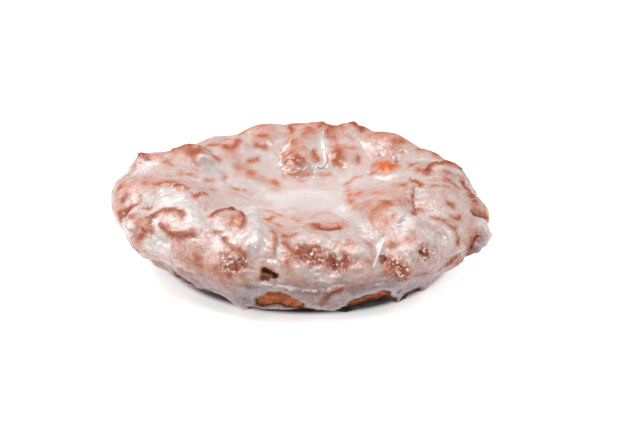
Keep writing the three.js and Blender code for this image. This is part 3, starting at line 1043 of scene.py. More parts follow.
    def settled(self) -> np.ndarray:
        """How far each point's relief stands out, from 0 at the table to 1."""
        return eased(self.points[:, 2] / self.settle)

    def dish(self) -> np.ndarray:
        """How far each point lies inside the dish, from 0 outside to 1."""
        radius = np.linalg.norm(self.points[:, :2], axis=1)
        return 1.0 - eased(radius / self.pool_reach)

    def outer(self) -> np.ndarray:
        """How crumbly each point's surface is.

        Returns:
            A share, from 0.3 in the dish to 1 out on the rim, and lower again at the back.
        """
        in_dish, dish_edge, rim_width = 0.3, 22.0 * MM, 18.0 * MM
        back_loss, back_width = 0.55, 30.0 * MM
        radius = np.linalg.norm(self.points[:, :2], axis=1)
        on_rim = eased((radius - dish_edge) / rim_width)
        at_back = eased(self.points[:, 1] / back_width)
        return in_dish + (1.0 - in_dish) * on_rim * (1.0 - back_loss * at_back)

    def char(self) -> np.ndarray:
        """How black each point is painted, as shadow and shade.

        Returns:
            A share, from 0 to 1 in the gaps under the front, painted as the shadow under the overhang, and at
            the dark pit's bottom, painted as its shade.
        """
        full, fading = 0.8, 0.5
        darkest = np.zeros(len(self.points))
        for gap in SHADOW_GAPS + SHADED_PIT_BOTTOM:
            away = self.distance(gap, gap in SHADOW_GAPS)
            darkest = np.maximum(darkest, 1.0 - eased((away - full) / fading))
        return darkest


@dataclass(frozen=True)
class DoughFinish:
    """Fried dough: orange-brown and mottled, with a dry crust.

    Attributes:
        tan: the colour of its lighter parts.
        brown: the colour of most of it.
        dark: the colour of its burnt specks, and of the shade painted at its foot, under the glaze's edge, in
            the gaps and in the pits.
        roughness: how matt it is.
        gloss: how strongly it mirrors, as the shader's specular level.
        stretch: what its mottling is squeezed by along each axis.
        mottle_size: the width of its mottling, in metres.
        speck_size: the width of its burnt specks, in metres.
        speck_share: how strong the specks are in its relief, beside the mottling.
        relief_strength: how strong its relief is, from 0 to 1.
        relief_height: how high its relief is, in metres.
    """

    tan: Colour = (0.56, 0.15, 0.042, 1.0)
    brown: Colour = (0.24, 0.05, 0.014, 1.0)
    dark: Colour = (0.014, 0.005, 0.003, 1.0)
    roughness: float = 0.6
    gloss: float = 0.25
    stretch: Triple = (0.7, 0.7, 1.1)
    mottle_size: float = 1.6 * MM
    speck_size: float = 1.8 * MM
    speck_share: float = 0.5
    relief_strength: float = 0.6
    relief_height: float = 0.4 * MM

    def material(self) -> bpy.types.Material:
        """Make the material.

        Returns:
            The material.
        """
        material = bpy.data.materials.new("fried_dough")
        material.use_nodes = True
        bench = NodeBench(material.node_tree)
        shader = material.node_tree.nodes["Principled BSDF"]
        where = bench.out("ShaderNodeTexCoord", None, "Object")
        torn = bench.vector("MULTIPLY", where, self.stretch)
        mottle = bench.noise(torn, self.mottle_size, 5.0, Draw.CRUST.value, 0.7)
        specks = bench.noise(torn, self.speck_size, 4.0, Draw.BURNT_SPECKS.value, 0.7)
        crust = bench.mix(mottle.span(0.35, 0.65), self.brown, self.tan)
        burnt = self.burnt(bench, specks, where.up())
        crumb = mottle + specks * self.speck_share
        bench.feed(shader, "Base Color", bench.mix(burnt, crust, self.dark))
        bench.feed(shader, "Normal", bench.bump(self.relief_strength, self.relief_height, crumb))
        shader.inputs["Roughness"].default_value = self.roughness
        shader.inputs["Specular IOR Level"].default_value = self.gloss
        return material

    def burnt(self, bench: NodeBench, specks: Value, height: Value) -> Value:
        """How burnt the dough is, with painted shade and shadow on it.

        Args:
            bench: the material's nodes.
            specks: the noise of the burnt specks.
            height: the height over the table, in metres.

        Returns:
            A share: 1 in the burnt specks; and painted shade, 1 at the foot, under the glaze's edge and in
                the gaps, and half in the bare pits.
        """
        # Painted shade at the foot, where the dough meets the table.
        foot = height.span(2.6 * MM, 1.6 * MM)
        # Painted shade in the pits: bare dough high on the loaf is half darkened.
        pits = height.span(7.0 * MM, 9.0 * MM, 0.0, 0.5)
        # Painted shadow under the glaze's edge, low on the flank.
        edge = bench.attribute("cover").span(-0.6 * MM, -0.1 * MM) * height.span(9.0 * MM, 7.0 * MM)
        # Painted shadow in the gaps under the front and painted shade at the dark pit's bottom.
        char = bench.attribute("char")
        return specks.span(0.56, 0.66).at_least(foot).at_least(pits).at_least(edge).at_least(char)


@dataclass(frozen=True)
class GlazeFinish:
    """Set sugar glaze over dough: glossy, white where it is thick, with browned dough showing where thin.

    Attributes:
        tones: the colour at each thickness in millimetres, from a bare film to thick white glaze.
        crystal: the white of the sugar crystals in rough places, which is partly painted glint.
        rust: the dough between those crystals.
        dark: the colour of the shade painted in open recesses, of the darker layers low on the flank and of
            some dark crystals.
        apple: the orange of apple seen through a thin coat.
        shade: painted shade, what the colour is multiplied by low on the flank.
        roughness: how matt its smooth parts are.
        film_roughness: how matt its thinnest film is.
        gloss: how strongly the sugar itself mirrors, as the shader's specular level.
        wet_roughness: how matt its wet skin is.
        wet_index: the wet skin's index of refraction.
        glow: how much light passes through under its surface.
        glow_colours: how far red, green and blue light go there, beside each other.
        glow_reach: how far that light goes, in metres.
        mottle_size: the width of the blotches in its thickness, in metres.
        mottle_share: how much they change it, as a share of it.
        mottle_rise: how much they change it where there is hardly any, in metres.
        speck_size: the width of its thin specks, in metres.
        speck_share: how much thinner it looks in them.
        vein_size: the spacing of its thin veins, in metres.
        vein_share: how much thinner it looks in them.
        grain_size: the width of a sugar crystal, in metres.
        layer_size: the height of the layers low on the flank, in metres.
        layer_share: how dark those layers are.
        ripple_size: the width of the ripples in its surface, in metres.
        grit_size: the width of the grit in its surface, in metres.
        grit_share: how strong the grit is beside the ripples.
        facet_share: how strong the crystals are beside the ripples.
        wave_size: the width of the waves in its wet skin, in metres.
        crystal_tilt: how far the crystals' facets are turned.
        rim_tilt: how far facets are turned all over the rim.
    """

    tones: tuple[tuple[float, Colour], ...] = (
        (0.0, (0.26, 0.05, 0.018, 1.0)),
        (0.05, (0.42, 0.105, 0.045, 1.0)),
        (0.1, (0.53, 0.17, 0.085, 1.0)),
        (0.2, (0.63, 0.31, 0.23, 1.0)),
        (0.35, (0.67, 0.42, 0.365, 1.0)),
        (0.5, (0.69, 0.51, 0.47, 1.0)),
        (0.9, (0.75, 0.65, 0.625, 1.0)),
        (1.5, (0.81, 0.745, 0.735, 1.0)),
    )
    crystal: Colour = (0.95, 0.78, 0.7, 1.0)
    rust: Colour = (0.45, 0.095, 0.025, 1.0)
    dark: Colour = (0.26, 0.055, 0.018, 1.0)
    apple: Colour = (0.87, 0.16, 0.004, 1.0)
    shade: Colour = (0.45, 0.45, 0.515, 1.0)
    roughness: float = 0.28
    film_roughness: float = 0.4
    gloss: float = 0.12
    wet_roughness: float = 0.05
    wet_index: float = 1.65
    glow: float = 0.15
    glow_colours: Triple = (1.0, 0.5, 0.4)
    glow_reach: float = 0.8 * MM
    mottle_size: float = 2.0 * MM
    mottle_share: float = 1.7
    mottle_rise: float = 0.12 * MM
    speck_size: float = 0.9 * MM
    speck_share: float = 0.3
    vein_size: float = 4.5 * MM
    vein_share: float = 0.45
    grain_size: float = 0.85 * MM
    layer_size: float = 1.2 * MM
    layer_share: float = 2.6
    ripple_size: float = 1.3 * MM
    grit_size: float = 0.5 * MM
    grit_share: float = 0.3
    facet_share: float = 0.4
    wave_size: float = 1.2 * MM
    crystal_tilt: float = 0.4
    rim_tilt: float = 0.15

    def material(self) -> bpy.types.Material:
        """Make the material.

        Returns:
            The material.
        """
        material = bpy.data.materials.new("sugar_glaze")
        material.use_nodes = True
        shader = material.node_tree.nodes["Principled BSDF"]
        paint = GlazePaint(material.node_tree, self)
        matt = paint.thick.span(0.1 * MM, 0.6 * MM, self.film_roughness, self.roughness)
        paint.feed(shader, "Base Color", paint.colour())
        paint.feed(shader, "Normal", paint.turned(paint.relief()))
        paint.feed(shader, "Coat Normal", paint.turned(paint.waves()))
        paint.feed(shader, "Roughness", matt)
        paint.feed(shader, "Coat Weight", paint.wetness())
        shader.inputs["Specular IOR Level"].default_value = self.gloss
        shader.inputs["Coat Roughness"].default_value = self.wet_roughness
        shader.inputs["Coat IOR"].default_value = self.wet_index
        shader.inputs["Subsurface Weight"].default_value = self.glow
        shader.inputs["Subsurface Radius"].default_value = self.glow_colours
        shader.inputs["Subsurface Scale"].default_value = self.glow_reach
        return material


class GlazePaint(NodeBench):
    """The nodes that colour the glaze and turn its shine."""

    def __init__(self, tree: bpy.types.NodeTree, finish: GlazeFinish) -> None:
        """Read the coat's attributes and add the patterns that several nodes share.

        Args:
            tree: the material's node tree.
            finish: the glaze's finish.
        """
        super().__init__(tree)
        self.finish = finish
        self.where = self.out("ShaderNodeTexCoord", None, "Object")
        self.thick = self.attribute("shown")
        self.rough = self.attribute("rough")
        self.mottle = self.drift(self.where, finish.mottle_size, 6.0, Draw.MOTTLE.value, 0.75)
        self.lively = self.attribute("outer").span(0.3, 1.0, 0.3, 1.2)
        counted = self.vector("SCALE", self.where, 1.0 / finish.grain_size)
        self.grains = self.cells(counted, Draw.GRAINS.value)
        self.lot = self.chance(self.grains)
        self.ragged = (self.rough + self.mottle).span(0.35, 0.8)

    def seen_depth(self) -> Value:
        """How deep the glaze looks, with its blotches, thin specks and thin veins.

        Returns:
            The depth, in metres.
        """
        finish = self.finish
        seen = self.thick * (self.mottle * finish.mottle_share + 1.0) + self.mottle * finish.mottle_rise
        specks = self.noise(self.where, finish.speck_size, 2.0, Draw.THIN_SPECKS.value).span(0.56, 0.66)
        veins = abs(self.drift(self.where, finish.vein_size, 4.0, Draw.VEINS.value, 0.6)).span(0.022, 0.004)
        seen = seen * (self.lively * finish.speck_share * specks).rest()
        return seen * (self.lively * finish.vein_share * veins).rest()

    def tone(self, seen: Value) -> Value:
        """The coat's own colour.

        Args:
            seen: how deep the glaze looks, in metres.

        Returns:
            The colour.
        """
        tones = self.finish.tones
        thickest = tones[-1][0]
        ramp = self.node("ShaderNodeValToRGB", {0: seen / (thickest * MM)})
        stops = ramp.color_ramp.elements
        for (depth, tone), stop in zip(tones, (stops[0], stops[1])):
            stop.position = depth / thickest
            stop.color = tone
        for depth, tone in tones[2:]:
            stops.new(depth / thickest).color = tone
        return Value(self, ramp.outputs[0])

    def colour(self) -> Value:
        """The glaze's colour, with what shows through it, with the crystals on it and with shade painted in
        its open recesses and low on its flank.

        Returns:
            The colour.
        """
        finish = self.finish
        seen = self.seen_depth()
        film = self.thick.span(0.7 * MM, 0.1 * MM)
        colour = self.mix(self.attribute("apple") * film, self.tone(seen), finish.apple)
        # Painted shade: open grooves and pits are darkened by how deep they are.
        painted_recess_shade = self.attribute("hollow").span(0.15 * MM, 0.75 * MM)
        colour = self.mix(painted_recess_shade, colour, finish.dark)
        # Rust, white and dark crystals in rough places; the white crystals are partly painted glints.
        lots = ((0.65, 0.55, finish.rust), (0.84, 0.9, finish.crystal), (0.2, 0.1, finish.dark))
        for none, whole, tint in lots:
            colour = self.mix(self.lot.span(none, whole) * self.ragged, colour, tint)
        return self.flank(colour, seen)

    def flank(self, colour: Value, seen: Value) -> Value:
        """Paint shade on the lower flank, and darken it in layers.

        Args:
            colour: the glaze's colour.
            seen: how deep the glaze looks, in metres.

        Returns:
            The colour with its painted shade.
        """
        finish = self.finish
        low = self.where.up().span(18.0 * MM, 7.0 * MM)
        flat = self.vector("MULTIPLY", self.where, (0.2, 0.2, 1.0))
        layers = self.drift(flat, finish.layer_size, 3.0, Draw.LAYERS.value, 0.6)
        colour = self.mix(low * finish.layer_share * layers, colour, finish.dark)
        showing = seen.span(0.5 * MM, 1.4 * MM, 1.0, 0.7)
        smooth = (self.ragged * 0.9).rest()
        # Painted shade: low on the flank the colour is multiplied down, less where the glaze looks deep or is
        # crystalline.
        return self.mix(low * showing * smooth, colour, finish.shade, "MULTIPLY")

    def relief(self) -> Value:
        """The way that the sugar faces, with its ripples, crystals and grit.

        Returns:
            The normal.
        """
        finish = self.finish
        ripple = self.noise(self.where, finish.ripple_size, 4.0, Draw.RIPPLE.value, 0.6)
        facets = self.ragged * -finish.facet_share * self.middles(self.grains)
        grit = self.noise(self.where, finish.grit_size, 2.0, Draw.GRIT.value)
        height = ripple * self.lively + facets + self.lively * finish.grit_share * grit
        return self.bump(0.8, 0.6 * MM, height)

    def waves(self) -> Value:
        """The way that the wet skin faces, with its waves."""
        waves = self.noise(self.where, self.finish.wave_size, 3.0, Draw.WAVES.value, 0.6)
        return self.bump(0.9, 0.5 * MM, waves * self.lively)

    def turned(self, facing: Value) -> Value:
        """Turn each crystal's facet its own way.

        Args:
            facing: the normal.

        Returns:
            The turned normal.
        """
        share = self.ragged * self.finish.crystal_tilt + self.lively * self.finish.rim_tilt
        drawn = Value(self, self.grains.outputs["Color"])
        tilt = self.vector("SCALE", self.vector("SUBTRACT", drawn, (0.5, 0.5, 0.5)), share)
        leaning = self.vector("ADD", facing, tilt)
        return self.out("ShaderNodeVectorMath", {0: leaning}, operation="NORMALIZE")

    def wetness(self) -> Value:
        """How wet the glaze shines, from 0 to 1: most where it is thick and on some of the crystals."""
        glints = self.lot.span(0.7, 0.8) * self.ragged
        return self.thick.span(0.1 * MM, 0.7 * MM, 0.5, 1.0).at_least(glints).at_least(self.rough * 0.35)


@dataclass
class Dough:
    """The fried dough: the loaf with its marks and with crags all over.

    Attributes:
        skin: the loaf's bare form with its marks.
        finish: the dough's finish.
        crag_size: the width of the crags, in metres.
        crag_rise: how far they stand out, in metres.
        grain_size: the width of the finer grain, in metres.
        grain_rise: how far it stands out, in metres.
        crease_size: the spacing of the thin creases, in metres.
        crease_depth: how deep they are, in metres.
        bump_size: the spacing of the knobs that poke through the glaze, in metres.
        bump_rise: how far they stand out, in metres.
        crystal_size: the width of the sugar crystals in rough places, in metres.
        crystal_rise: how far they stand out, in metres.
        sink: how far the dough lies under the loaf's form, in metres; below 0 it stands out.
        seed: which crags they are.
    """

    skin: bpy.types.Object
    finish: DoughFinish = DoughFinish()
    crag_size: float = 5.5 * MM
    crag_rise: float = 1.3 * MM
    grain_size: float = 2.0 * MM
    grain_rise: float = 0.55 * MM
    crease_size: float = 8.0 * MM
    crease_depth: float = 0.7 * MM
    bump_size: float = 6.5 * MM
    bump_rise: float = 0.8 * MM
    crystal_size: float = 1.5 * MM
    crystal_rise: float = 0.55 * MM
    sink: float = -0.1 * MM
    seed: float = 4.0

    def build(self) -> bpy.types.Object:
        """Make the dough.

        Returns:
            The dough, with its relief and outward directions kept as attributes.
        """
        tree = ShapeTree("dough_crags", titled_sizes(self))
        settled = tree.read("settled")
        patches = tree.noise(tree.counted_in("Crag Size"), 2.6, 1.0, tree.seed(1)).span(0.38, 0.6)
        crystal = tree.chance(tree.cells(tree.counted_in("Crystal Size"), tree.seed(5)))
        crystals = (crystal - 0.5) * tree.size("Crystal Rise") * tree.read("rough")
        details = self.bumps(tree) + crystals + self.grain(tree, patches)
        relief = (self.crags(tree, patches) + details) * settled + tree.read("rise")
        mesh = tree.keep(tree.start, "relief", relief - tree.size("Sink") * settled)
        mesh = tree.keep(mesh, "outward", tree.out("GeometryNodeInputNormal"), "FLOAT_VECTOR")
        mesh = tree.keep(mesh, "crystal", crystal)
        offset = tree.vector("SCALE", tree.outward(), tree.read("relief"))
        mesh = tree.out("GeometryNodeSetPosition", {"Geometry": mesh, "Offset": offset})
        tree.finish(mesh, self.finish.material())
        return tree.run(self.skin, "dough")

    def crags(self, tree: ShapeTree, patches: Value) -> Value:
        """The height of the crags.

        Args:
            tree: the dough's node tree.
            patches: where the crags are high, from 0 to 1.

        Returns:
            The height, in metres.
        """
        where = tree.counted_in("Crag Size")
        cells = tree.cells(where, tree.seed(0), feature="SMOOTH_F1")
        cells.inputs["Smoothness"].default_value = 0.35
        lumps = tree.math("SUBTRACT", 0.42, tree.middles(cells))
        folds = tree.drift(where, 1.3, 3.0, tree.seed(2))
        return (lumps + folds) * tree.size("Crag Rise") * (patches * 0.9 + 0.35)

    def grain(self, tree: ShapeTree, patches: Value) -> Value:
        """The height of the finer grain, with thin creases in it.

        Args:
            tree: the dough's node tree.
            patches: where the creases are deep, from 0 to 1.

        Returns:
            The height, in metres.
        """
        grain = tree.drift(tree.counted_in("Grain Size"), 1.0, 3.0, tree.seed(3), 0.6)
        grain = tree.size("Grain Rise") * tree.read("outer") * grain
        level = tree.drift(tree.counted_in("Crease Size"), 1.0, 2.0, tree.seed(6))
        return grain - tree.size("Crease Depth") * patches * abs(level).span(0.035, 0.0)

    def bumps(self, tree: ShapeTree) -> Value:
        """The height of the knobs, which stand in some of their cells only.

        Args:
            tree: the dough's node tree.

        Returns:
            The height, in metres.
        """
        where = tree.vector("MULTIPLY", tree.counted_in("Bump Size"), (0.65, 1.0, 1.0))
        cells = tree.cells(where, tree.seed(4))
        chosen = tree.chance(cells).span(0.4, 0.7)
        return tree.middles(cells).span(0.45, 0.05) * chosen * tree.size("Bump Rise")


class CoatTree(ShapeTree):
    """The nodes that lay the coat on the dough; each value is worked out once."""

    @cached_property
    def hollow(self) -> Value:
        """How deep each point lies in a hollow of the crags, in metres."""
        relief = self.read("relief")
        return self.blur(relief, self.size("Level Steps")) - relief

    @cached_property
    def dip(self) -> Value:
        """How deep each point lies in a dip between the loaf's lumps.

        Returns:
            The depth, in metres; below 0 on a lump.
        """
        evened = self.blur(self.where, self.size("Run Steps"), "FLOAT_VECTOR")
        both = {0: self.vector("SUBTRACT", evened, self.where), 1: self.outward()}
        dip = self.out("ShaderNodeVectorMath", both, "Value", operation="DOT_PRODUCT")
        return dip * self.read("settled")

    @cached_property
    def left(self) -> Value:
        """How much of the glaze stays on crags, lumps and steep flanks.

        Returns:
            A share from 0 to 1; higher where the glaze clings.
        """
        shed = self.hollow.at_most(0.0) / self.size("Shed")
        run_out = self.dip.at_most(0.0) / self.size("Run Shed")
        flat = self.outward().up().span(0.1, 0.8, self.size("Steep Share"), 1.0)
        left = self.math("EXPONENT", shed + run_out) * flat
        return left + left.rest() * self.read("held")

    @cached_property
    def trimming(self) -> Value:
        """How thick the sugar crystals and the bead along the coat's edge are.

        Returns:
            The thickness, in metres.
        """
        sugar = self.read("crystal").span(0.5, 0.9) * self.read("rough") * self.size("Crumb")
        past_lip = (self.read("cover") - self.size("Lip")) / self.size("Lip")
        return sugar + abs(past_lip).span(1.2, 0.0) * self.size("Bead")

    @cached_property
    def laid(self) -> Value:
        """How thick the glaze lies once it has run off the lumps and into the hollows.

        Returns:
            The thickness, in metres.
        """
        filled = self.hollow.at_least(0.0) * self.size("Fill")
        run_in = self.dip.at_least(0.0) * self.size("Run Off")
        filled = (filled + run_in) * self.read("open").rest()
        along_flow = self.vector("MULTIPLY", self.where, (0.14, 1.0, 0.8))
        streaks = self.drift(along_flow, 2.2 * MM, 2.0, self.seed(0)) * self.size("Streak") + 1.0
        coat = (self.read("coat") * streaks).at_least(self.size("Skin")) * self.left
        return (coat + self.trimming + filled).at_least(self.size("Skin"))

    @cached_property
    def flood(self) -> Value:
        """How deep the pool stands, in metres; below 0 outside it, and by a metre outside the dish."""
        outside = self.math("LESS_THAN", self.read("dish"), 0.001)
        return self.size("Pool Height") - self.where.up() - outside - self.read("open") * (5.0 * MM)

    @cached_property
    def wrinkles(self) -> Value:
        """How high the wrinkles stand outside the pool.

        Returns:
            The height, in metres.
        """
        across = self.vector("MULTIPLY", self.where, (0.6, 1.0, 1.0))
        wrinkles = self.drift(across, 2.2 * MM, 3.0, self.seed(2))
        lively = self.read("outer") + self.read("rough") * 0.8
        lively = lively * self.laid.span(0.5 * MM, 1.1 * MM, 1.0, 0.3)
        ashore = self.flood.span(0.0, -1.0 * MM)
        return self.size("Wrinkle") * self.read("settled") * wrinkles * lively * ashore

    @cached_property
    def lip(self) -> Value:
        """How far the coat has its whole thickness, from 0 at its edge to 1."""
        inside = self.read("cover") / self.size("Lip")
        return self.math("SQRT", inside.at_most(1.0).at_least(0.0))

    @cached_property
    def thickness(self) -> Value:
        """How thick the coat is, with its wrinkles, ripples, pool and rounded edge.

        Returns:
            The thickness, in metres; below 0 under bare dough.
        """
        along_flow = self.vector("MULTIPLY", self.where, (0.1, 1.0, 1.0))
        ripples = self.drift(along_flow, 0.9 * MM, 1.0, self.seed(1)) * self.size("Ripple")
        thick = (self.laid + (self.wrinkles + ripples)).at_least(self.size("Skin"))
        thick = self.blur(thick.at_least(self.flood), 1)
        under = self.read("cover").at_least(self.size("Sunk") * -1.0).at_most(0.0)
        return thick * self.lip + under

    @cached_property
    def shown(self) -> Value:
        """How deep the glaze looks, less than it is where only a film was laid.

        Returns:
            The depth, in metres.
        """
        film = self.read("coat").span(0.3 * MM, 0.0) * 0.8
        shown = (self.laid + self.wrinkles * 0.3).at_least(self.flood)
        return self.blur(shown * film.rest(), 2) * self.lip


@dataclass
class Glaze:
    """The coat of glaze: it levels the dough's crags, stands in the dish and ends in a lip above the table.

    Attributes:
        dough: the dough under it.
        finish: the glaze's finish.
        level_steps: how far it spreads the crags when it levels them, in points of the mesh.
        fill: how much of a hollow it fills, as a share.
        shed: the height of a crag that sheds most of its glaze, in metres.
        run_steps: over how many points of the mesh it runs off the loaf's lumps into the dips between.
        run_off: how much it thickens in a dip between lumps, as a share of the dip's depth.
        run_shed: the height of a lump that sheds most of its glaze, in metres.
        steep_share: how much of it stays on a steep flank.
        skin: the thinnest that it gets, in metres.
        streak: how much its thickness varies in streaks, as a share of it.
        pool_height: the height at which it stands in the dish, in metres.
        lip: how far in from its edge it has its whole thickness, in metres.
        bead: how much thicker it is along its edge, in metres.
        ripple: how high the fine ripples along its flow stand, in metres.
        wrinkle: how high the wrinkles outside the pool stand, in metres.
        crumb: how thick the sugar of a crystal is, in metres.
        sunk: how far the coat lies under bare dough, in metres.
        seed: which streaks they are.
    """

    dough: bpy.types.Object
    finish: GlazeFinish = GlazeFinish()
    level_steps: int = 24
    fill: float = 0.65
    shed: float = 0.4 * MM
    run_steps: int = 160
    run_off: float = 0.3
    run_shed: float = 1.6 * MM
    steep_share: float = 0.72
    skin: float = 0.03 * MM
    streak: float = 0.7
    pool_height: float = 19.9 * MM
    lip: float = 1.4 * MM
    bead: float = 0.4 * MM
    ripple: float = 0.16 * MM
    wrinkle: float = 1.0 * MM
    crumb: float = 0.7 * MM
    sunk: float = 0.5 * MM
    seed: float = 9.0

    def build(self) -> bpy.types.Object:
        """Make the coat.

        Returns:
            The glaze, with its thickness and the depth that its colour shows kept as attributes.
        """
        tree = CoatTree("glaze_coat", titled_sizes(self))
        mesh = tree.keep(tree.start, "thickness", tree.thickness)
        mesh = tree.keep(mesh, "shown", tree.shown)
        # The depth of open grooves and pits, which the glaze's colour paints dark as shade.
        mesh = tree.keep(mesh, "hollow", tree.hollow * tree.read("open"))
        offset = tree.vector("SCALE", tree.outward(), tree.read("thickness"))
        above_table = (-1.0, -1.0, 0.0)
        moved = tree.vector("MAXIMUM", tree.vector("ADD", tree.where, offset), above_table)
        mesh = tree.out("GeometryNodeSetPosition", {"Geometry": mesh, "Position": moved})
        tree.finish(mesh, self.finish.material())
        return tree.run(self.dough, "glaze")


@dataclass
class GlazeThreads:
    """The thin threads of glaze that lie across the coat.

    Attributes:
        camera: the camera that they are seen by.
        glaze: the coat that they lie on.
        steps: how many points a thread's line has.
        sides: how many sides a thread has.
        lift: how far its line lies over the coat, as a share of half its width.
        end_share: how wide a thread is at its ends, as a share of its middle.
        evening: how far its line is evened out, in points.
        depth: the depth of glaze that its colour shows, in metres.
    """

    camera: PhotoCamera
    glaze: bpy.types.Object
    steps: int = 36
    sides: int = 10
    lift: float = 0.6
    end_share: float = 0.3
    evening: int = 5
    depth: float = 1.5 * MM

    def build(self) -> bpy.types.Object:
        """Make the threads.

        Returns:
            The threads, as one piece.
        """
        start = self.lines()
        sizes = {"Sides": self.sides, "Evening": self.evening, "Depth": self.depth}
        tree = ShapeTree("glaze_threads", sizes)
        evened = tree.blur(tree.where, tree.size("Evening"), "FLOAT_VECTOR")
        line = tree.out("GeometryNodeSetPosition", {"Geometry": tree.start, "Position": evened})
        line = tree.out("GeometryNodeMeshToCurve", {"Mesh": line})
        ring = {"Resolution": tree.size("Sides"), "Radius": 1.0}
        ring = tree.out("GeometryNodeCurvePrimitiveCircle", ring)
        tube = {"Curve": line, "Profile Curve": ring, "Scale": tree.read("width"), "Fill Caps": True}
        # The threads show the white of deep glaze, which is partly painted glint.
        mesh = tree.keep(tree.out("GeometryNodeCurveToMesh", tube), "shown", tree.size("Depth"))
        # The coat's mesh lists the dough's material before its own.
        tree.finish(mesh, self.glaze.data.materials[-1])
        threads = tree.run(start, "glaze_threads")
        bpy.data.objects.remove(start)
        return threads

    def lines(self) -> bpy.types.Object:
        """Lay the threads' lines on the coat.

        Returns:
            An object of points and edges, with half the thread's width at each point.
        """
        points: list[Vector] = []
        edges: list[tuple[int, int]] = []
        widths: list[float] = []
        taper = np.sin(np.pi * np.linspace(0.0, 1.0, self.steps)) ** 0.5
        for thread in THREADS:
            first = len(points)
            points += self.lay(thread)
            edges += [(first + step, first + step + 1) for step in range(self.steps - 1)]
            widths += list(thread.reach * MM * (self.end_share + (1.0 - self.end_share) * taper))
        lines = bpy.data.meshes.new("thread_lines")
        lines.from_pydata(points, edges, [])
        lines.attributes.new("width", "FLOAT", "POINT").data.foreach_set("value", widths)
        start = bpy.data.objects.new("thread_lines", lines)
        bpy.context.scene.collection.objects.link(start)
        return start

    def lay(self, thread: Stroke) -> list[Vector]:
        """Lay one thread's line on the coat.

        Args:
            thread: the thread, as the photograph shows it.

        Returns:
            The line's points.
        """
        coat = BVHTree.FromObject(self.glaze, bpy.context.evaluated_depsgraph_get())
        corners = [Vector(pixel) for pixel in thread.pixels]
        points = []
        for along in np.linspace(0.0, len(corners) - 1, self.steps):
            corner = min(int(along), len(corners) - 2)
            pixel = corners[corner].lerp(corners[corner + 1], along - corner)
            hit, facing = coat.ray_cast(self.camera.place(), self.camera.ray(pixel))[:2]
            points.append(hit + facing * thread.reach * self.lift * MM)
        return points


@dataclass(frozen=True)
class SoftBox:
    """A soft box over or beside the fritter.

    Attributes:
        name: its name.
        power: its power, in watts.
        width: its width, in metres.
        place: where it hangs, in metres.
        aim: what it points at, in metres.
        depth: its depth, in metres, or None for a square one.
        spread: how far its light spreads, in degrees.
        lights: whether it lights the fritter; if not, it only shows as a reflection.
    """

    name: str
    power: float
    width: float
    place: Triple
    aim: Triple = (0.0, 0.0, 0.0)
    depth: float | None = None
    spread: float = 180.0
    lights: bool = True

    def hang(self) -> None:
        """Hang the box and turn it to its aim."""
        data = bpy.data.lights.new(self.name, "AREA")
        data.energy = self.power
        data.size = self.width
        data.spread = math.radians(self.spread)
        if self.depth is not None:
            data.shape = "RECTANGLE"
            data.size_y = self.depth
        light = bpy.data.objects.new(self.name, data)
        bpy.context.scene.collection.objects.link(light)
        light.location = self.place
        towards = Vector(self.aim) - Vector(self.place)
        light.rotation_euler = towards.to_track_quat("-Z", "Y").to_euler()
        light.visible_diffuse = self.lights


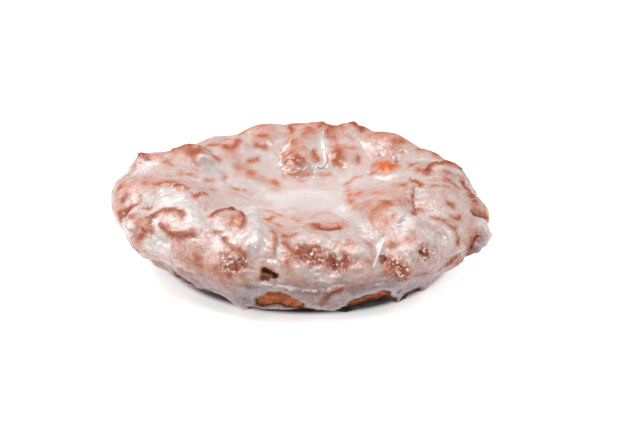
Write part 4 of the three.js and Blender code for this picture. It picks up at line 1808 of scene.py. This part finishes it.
@dataclass
class Studio:
    """The white table and the soft light.

    Attributes:
        table: the table's width, in metres.
        table_colour: the table's colour.
        table_roughness: how matt it is.
        table_glow: how strongly the table glows, away from the fritter, as painted light.
        near_glow: the same round the fritter's foot, as painted light that fills in the fritter's shadow on
            the table.
        near_end: how far from the middle the light round the foot starts to fall off, in metres.
        far_start: how far from the middle it has fallen to the table's, in metres.
        glow_start: how far from the middle that light begins, in metres.
        glow_full: how far from the middle it has its whole strength, in metres.
        glow_shift: how far to the right of the origin its middle is, in metres.
        ambient: the strength of the white all round, at the table's level.
        zenith: the strength of the white overhead.
        boxes: the soft boxes.
    """

    table: float = 6.0
    table_colour: Colour = (0.95, 0.95, 0.95, 1.0)
    table_roughness: float = 0.9
    table_glow: float = 0.35
    near_glow: float = 0.6
    near_end: float = 0.06
    far_start: float = 0.09
    glow_start: float = 0.043
    glow_full: float = 0.0465
    glow_shift: float = 0.0025
    ambient: float = 0.21
    zenith: float = 0.54
    boxes: tuple[SoftBox, ...] = (
        SoftBox("left_box", 1.9, 0.25, (-0.28, 0.1, 0.43)),
        SoftBox("right_box", 0.95, 0.45, (0.4, -0.02, 0.34)),
        SoftBox("front_box", 0.07, 0.2, (0.0, -0.075, 0.19), (0.0, -0.04, 0.02), 0.08, 40.0, False),
        SoftBox("side_box", 1.0, 0.15, (-0.42, -0.2, 0.16), lights=False),
    )

    def build(self) -> None:
        """Make the table, the lights and the colour transform."""
        self.make_table()
        for box in self.boxes:
            box.hang()
        world = bpy.data.worlds.new("white_room")
        world.use_nodes = True
        background = world.node_tree.nodes["Background"]
        background.inputs["Color"].default_value = WHITE
        bench = NodeBench(world.node_tree)
        upwards = bench.out("ShaderNodeTexCoord", None, "Generated").up()
        bench.feed(background, "Strength", upwards.span(0.0, 0.9, self.ambient, self.zenith))
        bpy.context.scene.world = world
        bpy.context.scene.view_settings.view_transform = "Standard"

    def make_table(self) -> None:
        """Make the pale table that the fritter rests on."""
        half = self.table / 2
        mesh = bpy.data.meshes.new("table")
        corners = [(-half, -half, 0.0), (half, -half, 0.0), (half, half, 0.0), (-half, half, 0.0)]
        mesh.from_pydata(corners, [], [(0, 1, 2, 3)])
        table = bpy.data.objects.new("table", mesh)
        bpy.context.scene.collection.objects.link(table)
        mesh.materials.append(self.table_material())

    def table_material(self) -> bpy.types.Material:
        """Make the table's material.

        Returns:
            The material, which glows from the fritter's foot outwards, as painted light that fills in the
            fritter's shadow.
        """
        material = bpy.data.materials.new("white_table")
        material.use_nodes = True
        shader = material.node_tree.nodes["Principled BSDF"]
        shader.inputs["Base Color"].default_value = self.table_colour
        shader.inputs["Roughness"].default_value = self.table_roughness
        shader.inputs["Emission Color"].default_value = WHITE
        bench = NodeBench(material.node_tree)
        where = bench.out("ShaderNodeTexCoord", None, "Object")
        apart = bench.vector("SUBTRACT", where, (self.glow_shift, 0.0, 0.0))
        radius = bench.out("ShaderNodeVectorMath", {0: apart}, "Value", operation="LENGTH")
        strength = radius.span(self.near_end, self.far_start, self.near_glow, self.table_glow)
        # Painted light: the table glows brightest just outside the fritter's foot, where its shadow would
        # fall, and lights the fritter's lower flank.
        glow = radius.span(self.glow_start, self.glow_full) * strength
        bench.feed(shader, "Emission Strength", glow)
        return material


def main() -> None:
    """Build the fritter and its studio."""
    logging.basicConfig(level=logging.INFO, format="%(message)s")
    camera = PhotoCamera()
    camera.build()
    Studio().build()
    skin = LoafSkin(camera).build()
    dough = Dough(skin).build()
    glaze = Glaze(dough).build()
    threads = GlazeThreads(camera, glaze).build()
    bpy.data.objects.remove(skin)
    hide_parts(NODE)
    for piece, slot in ((dough, Slot.DOUGH), (glaze, Slot.GLAZE), (threads, Slot.GLAZE)):
        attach(piece, BODY)
        log.info("%s: %d faces", piece.name, len(piece.data.polygons))


if __name__ == "__main__":
    main()
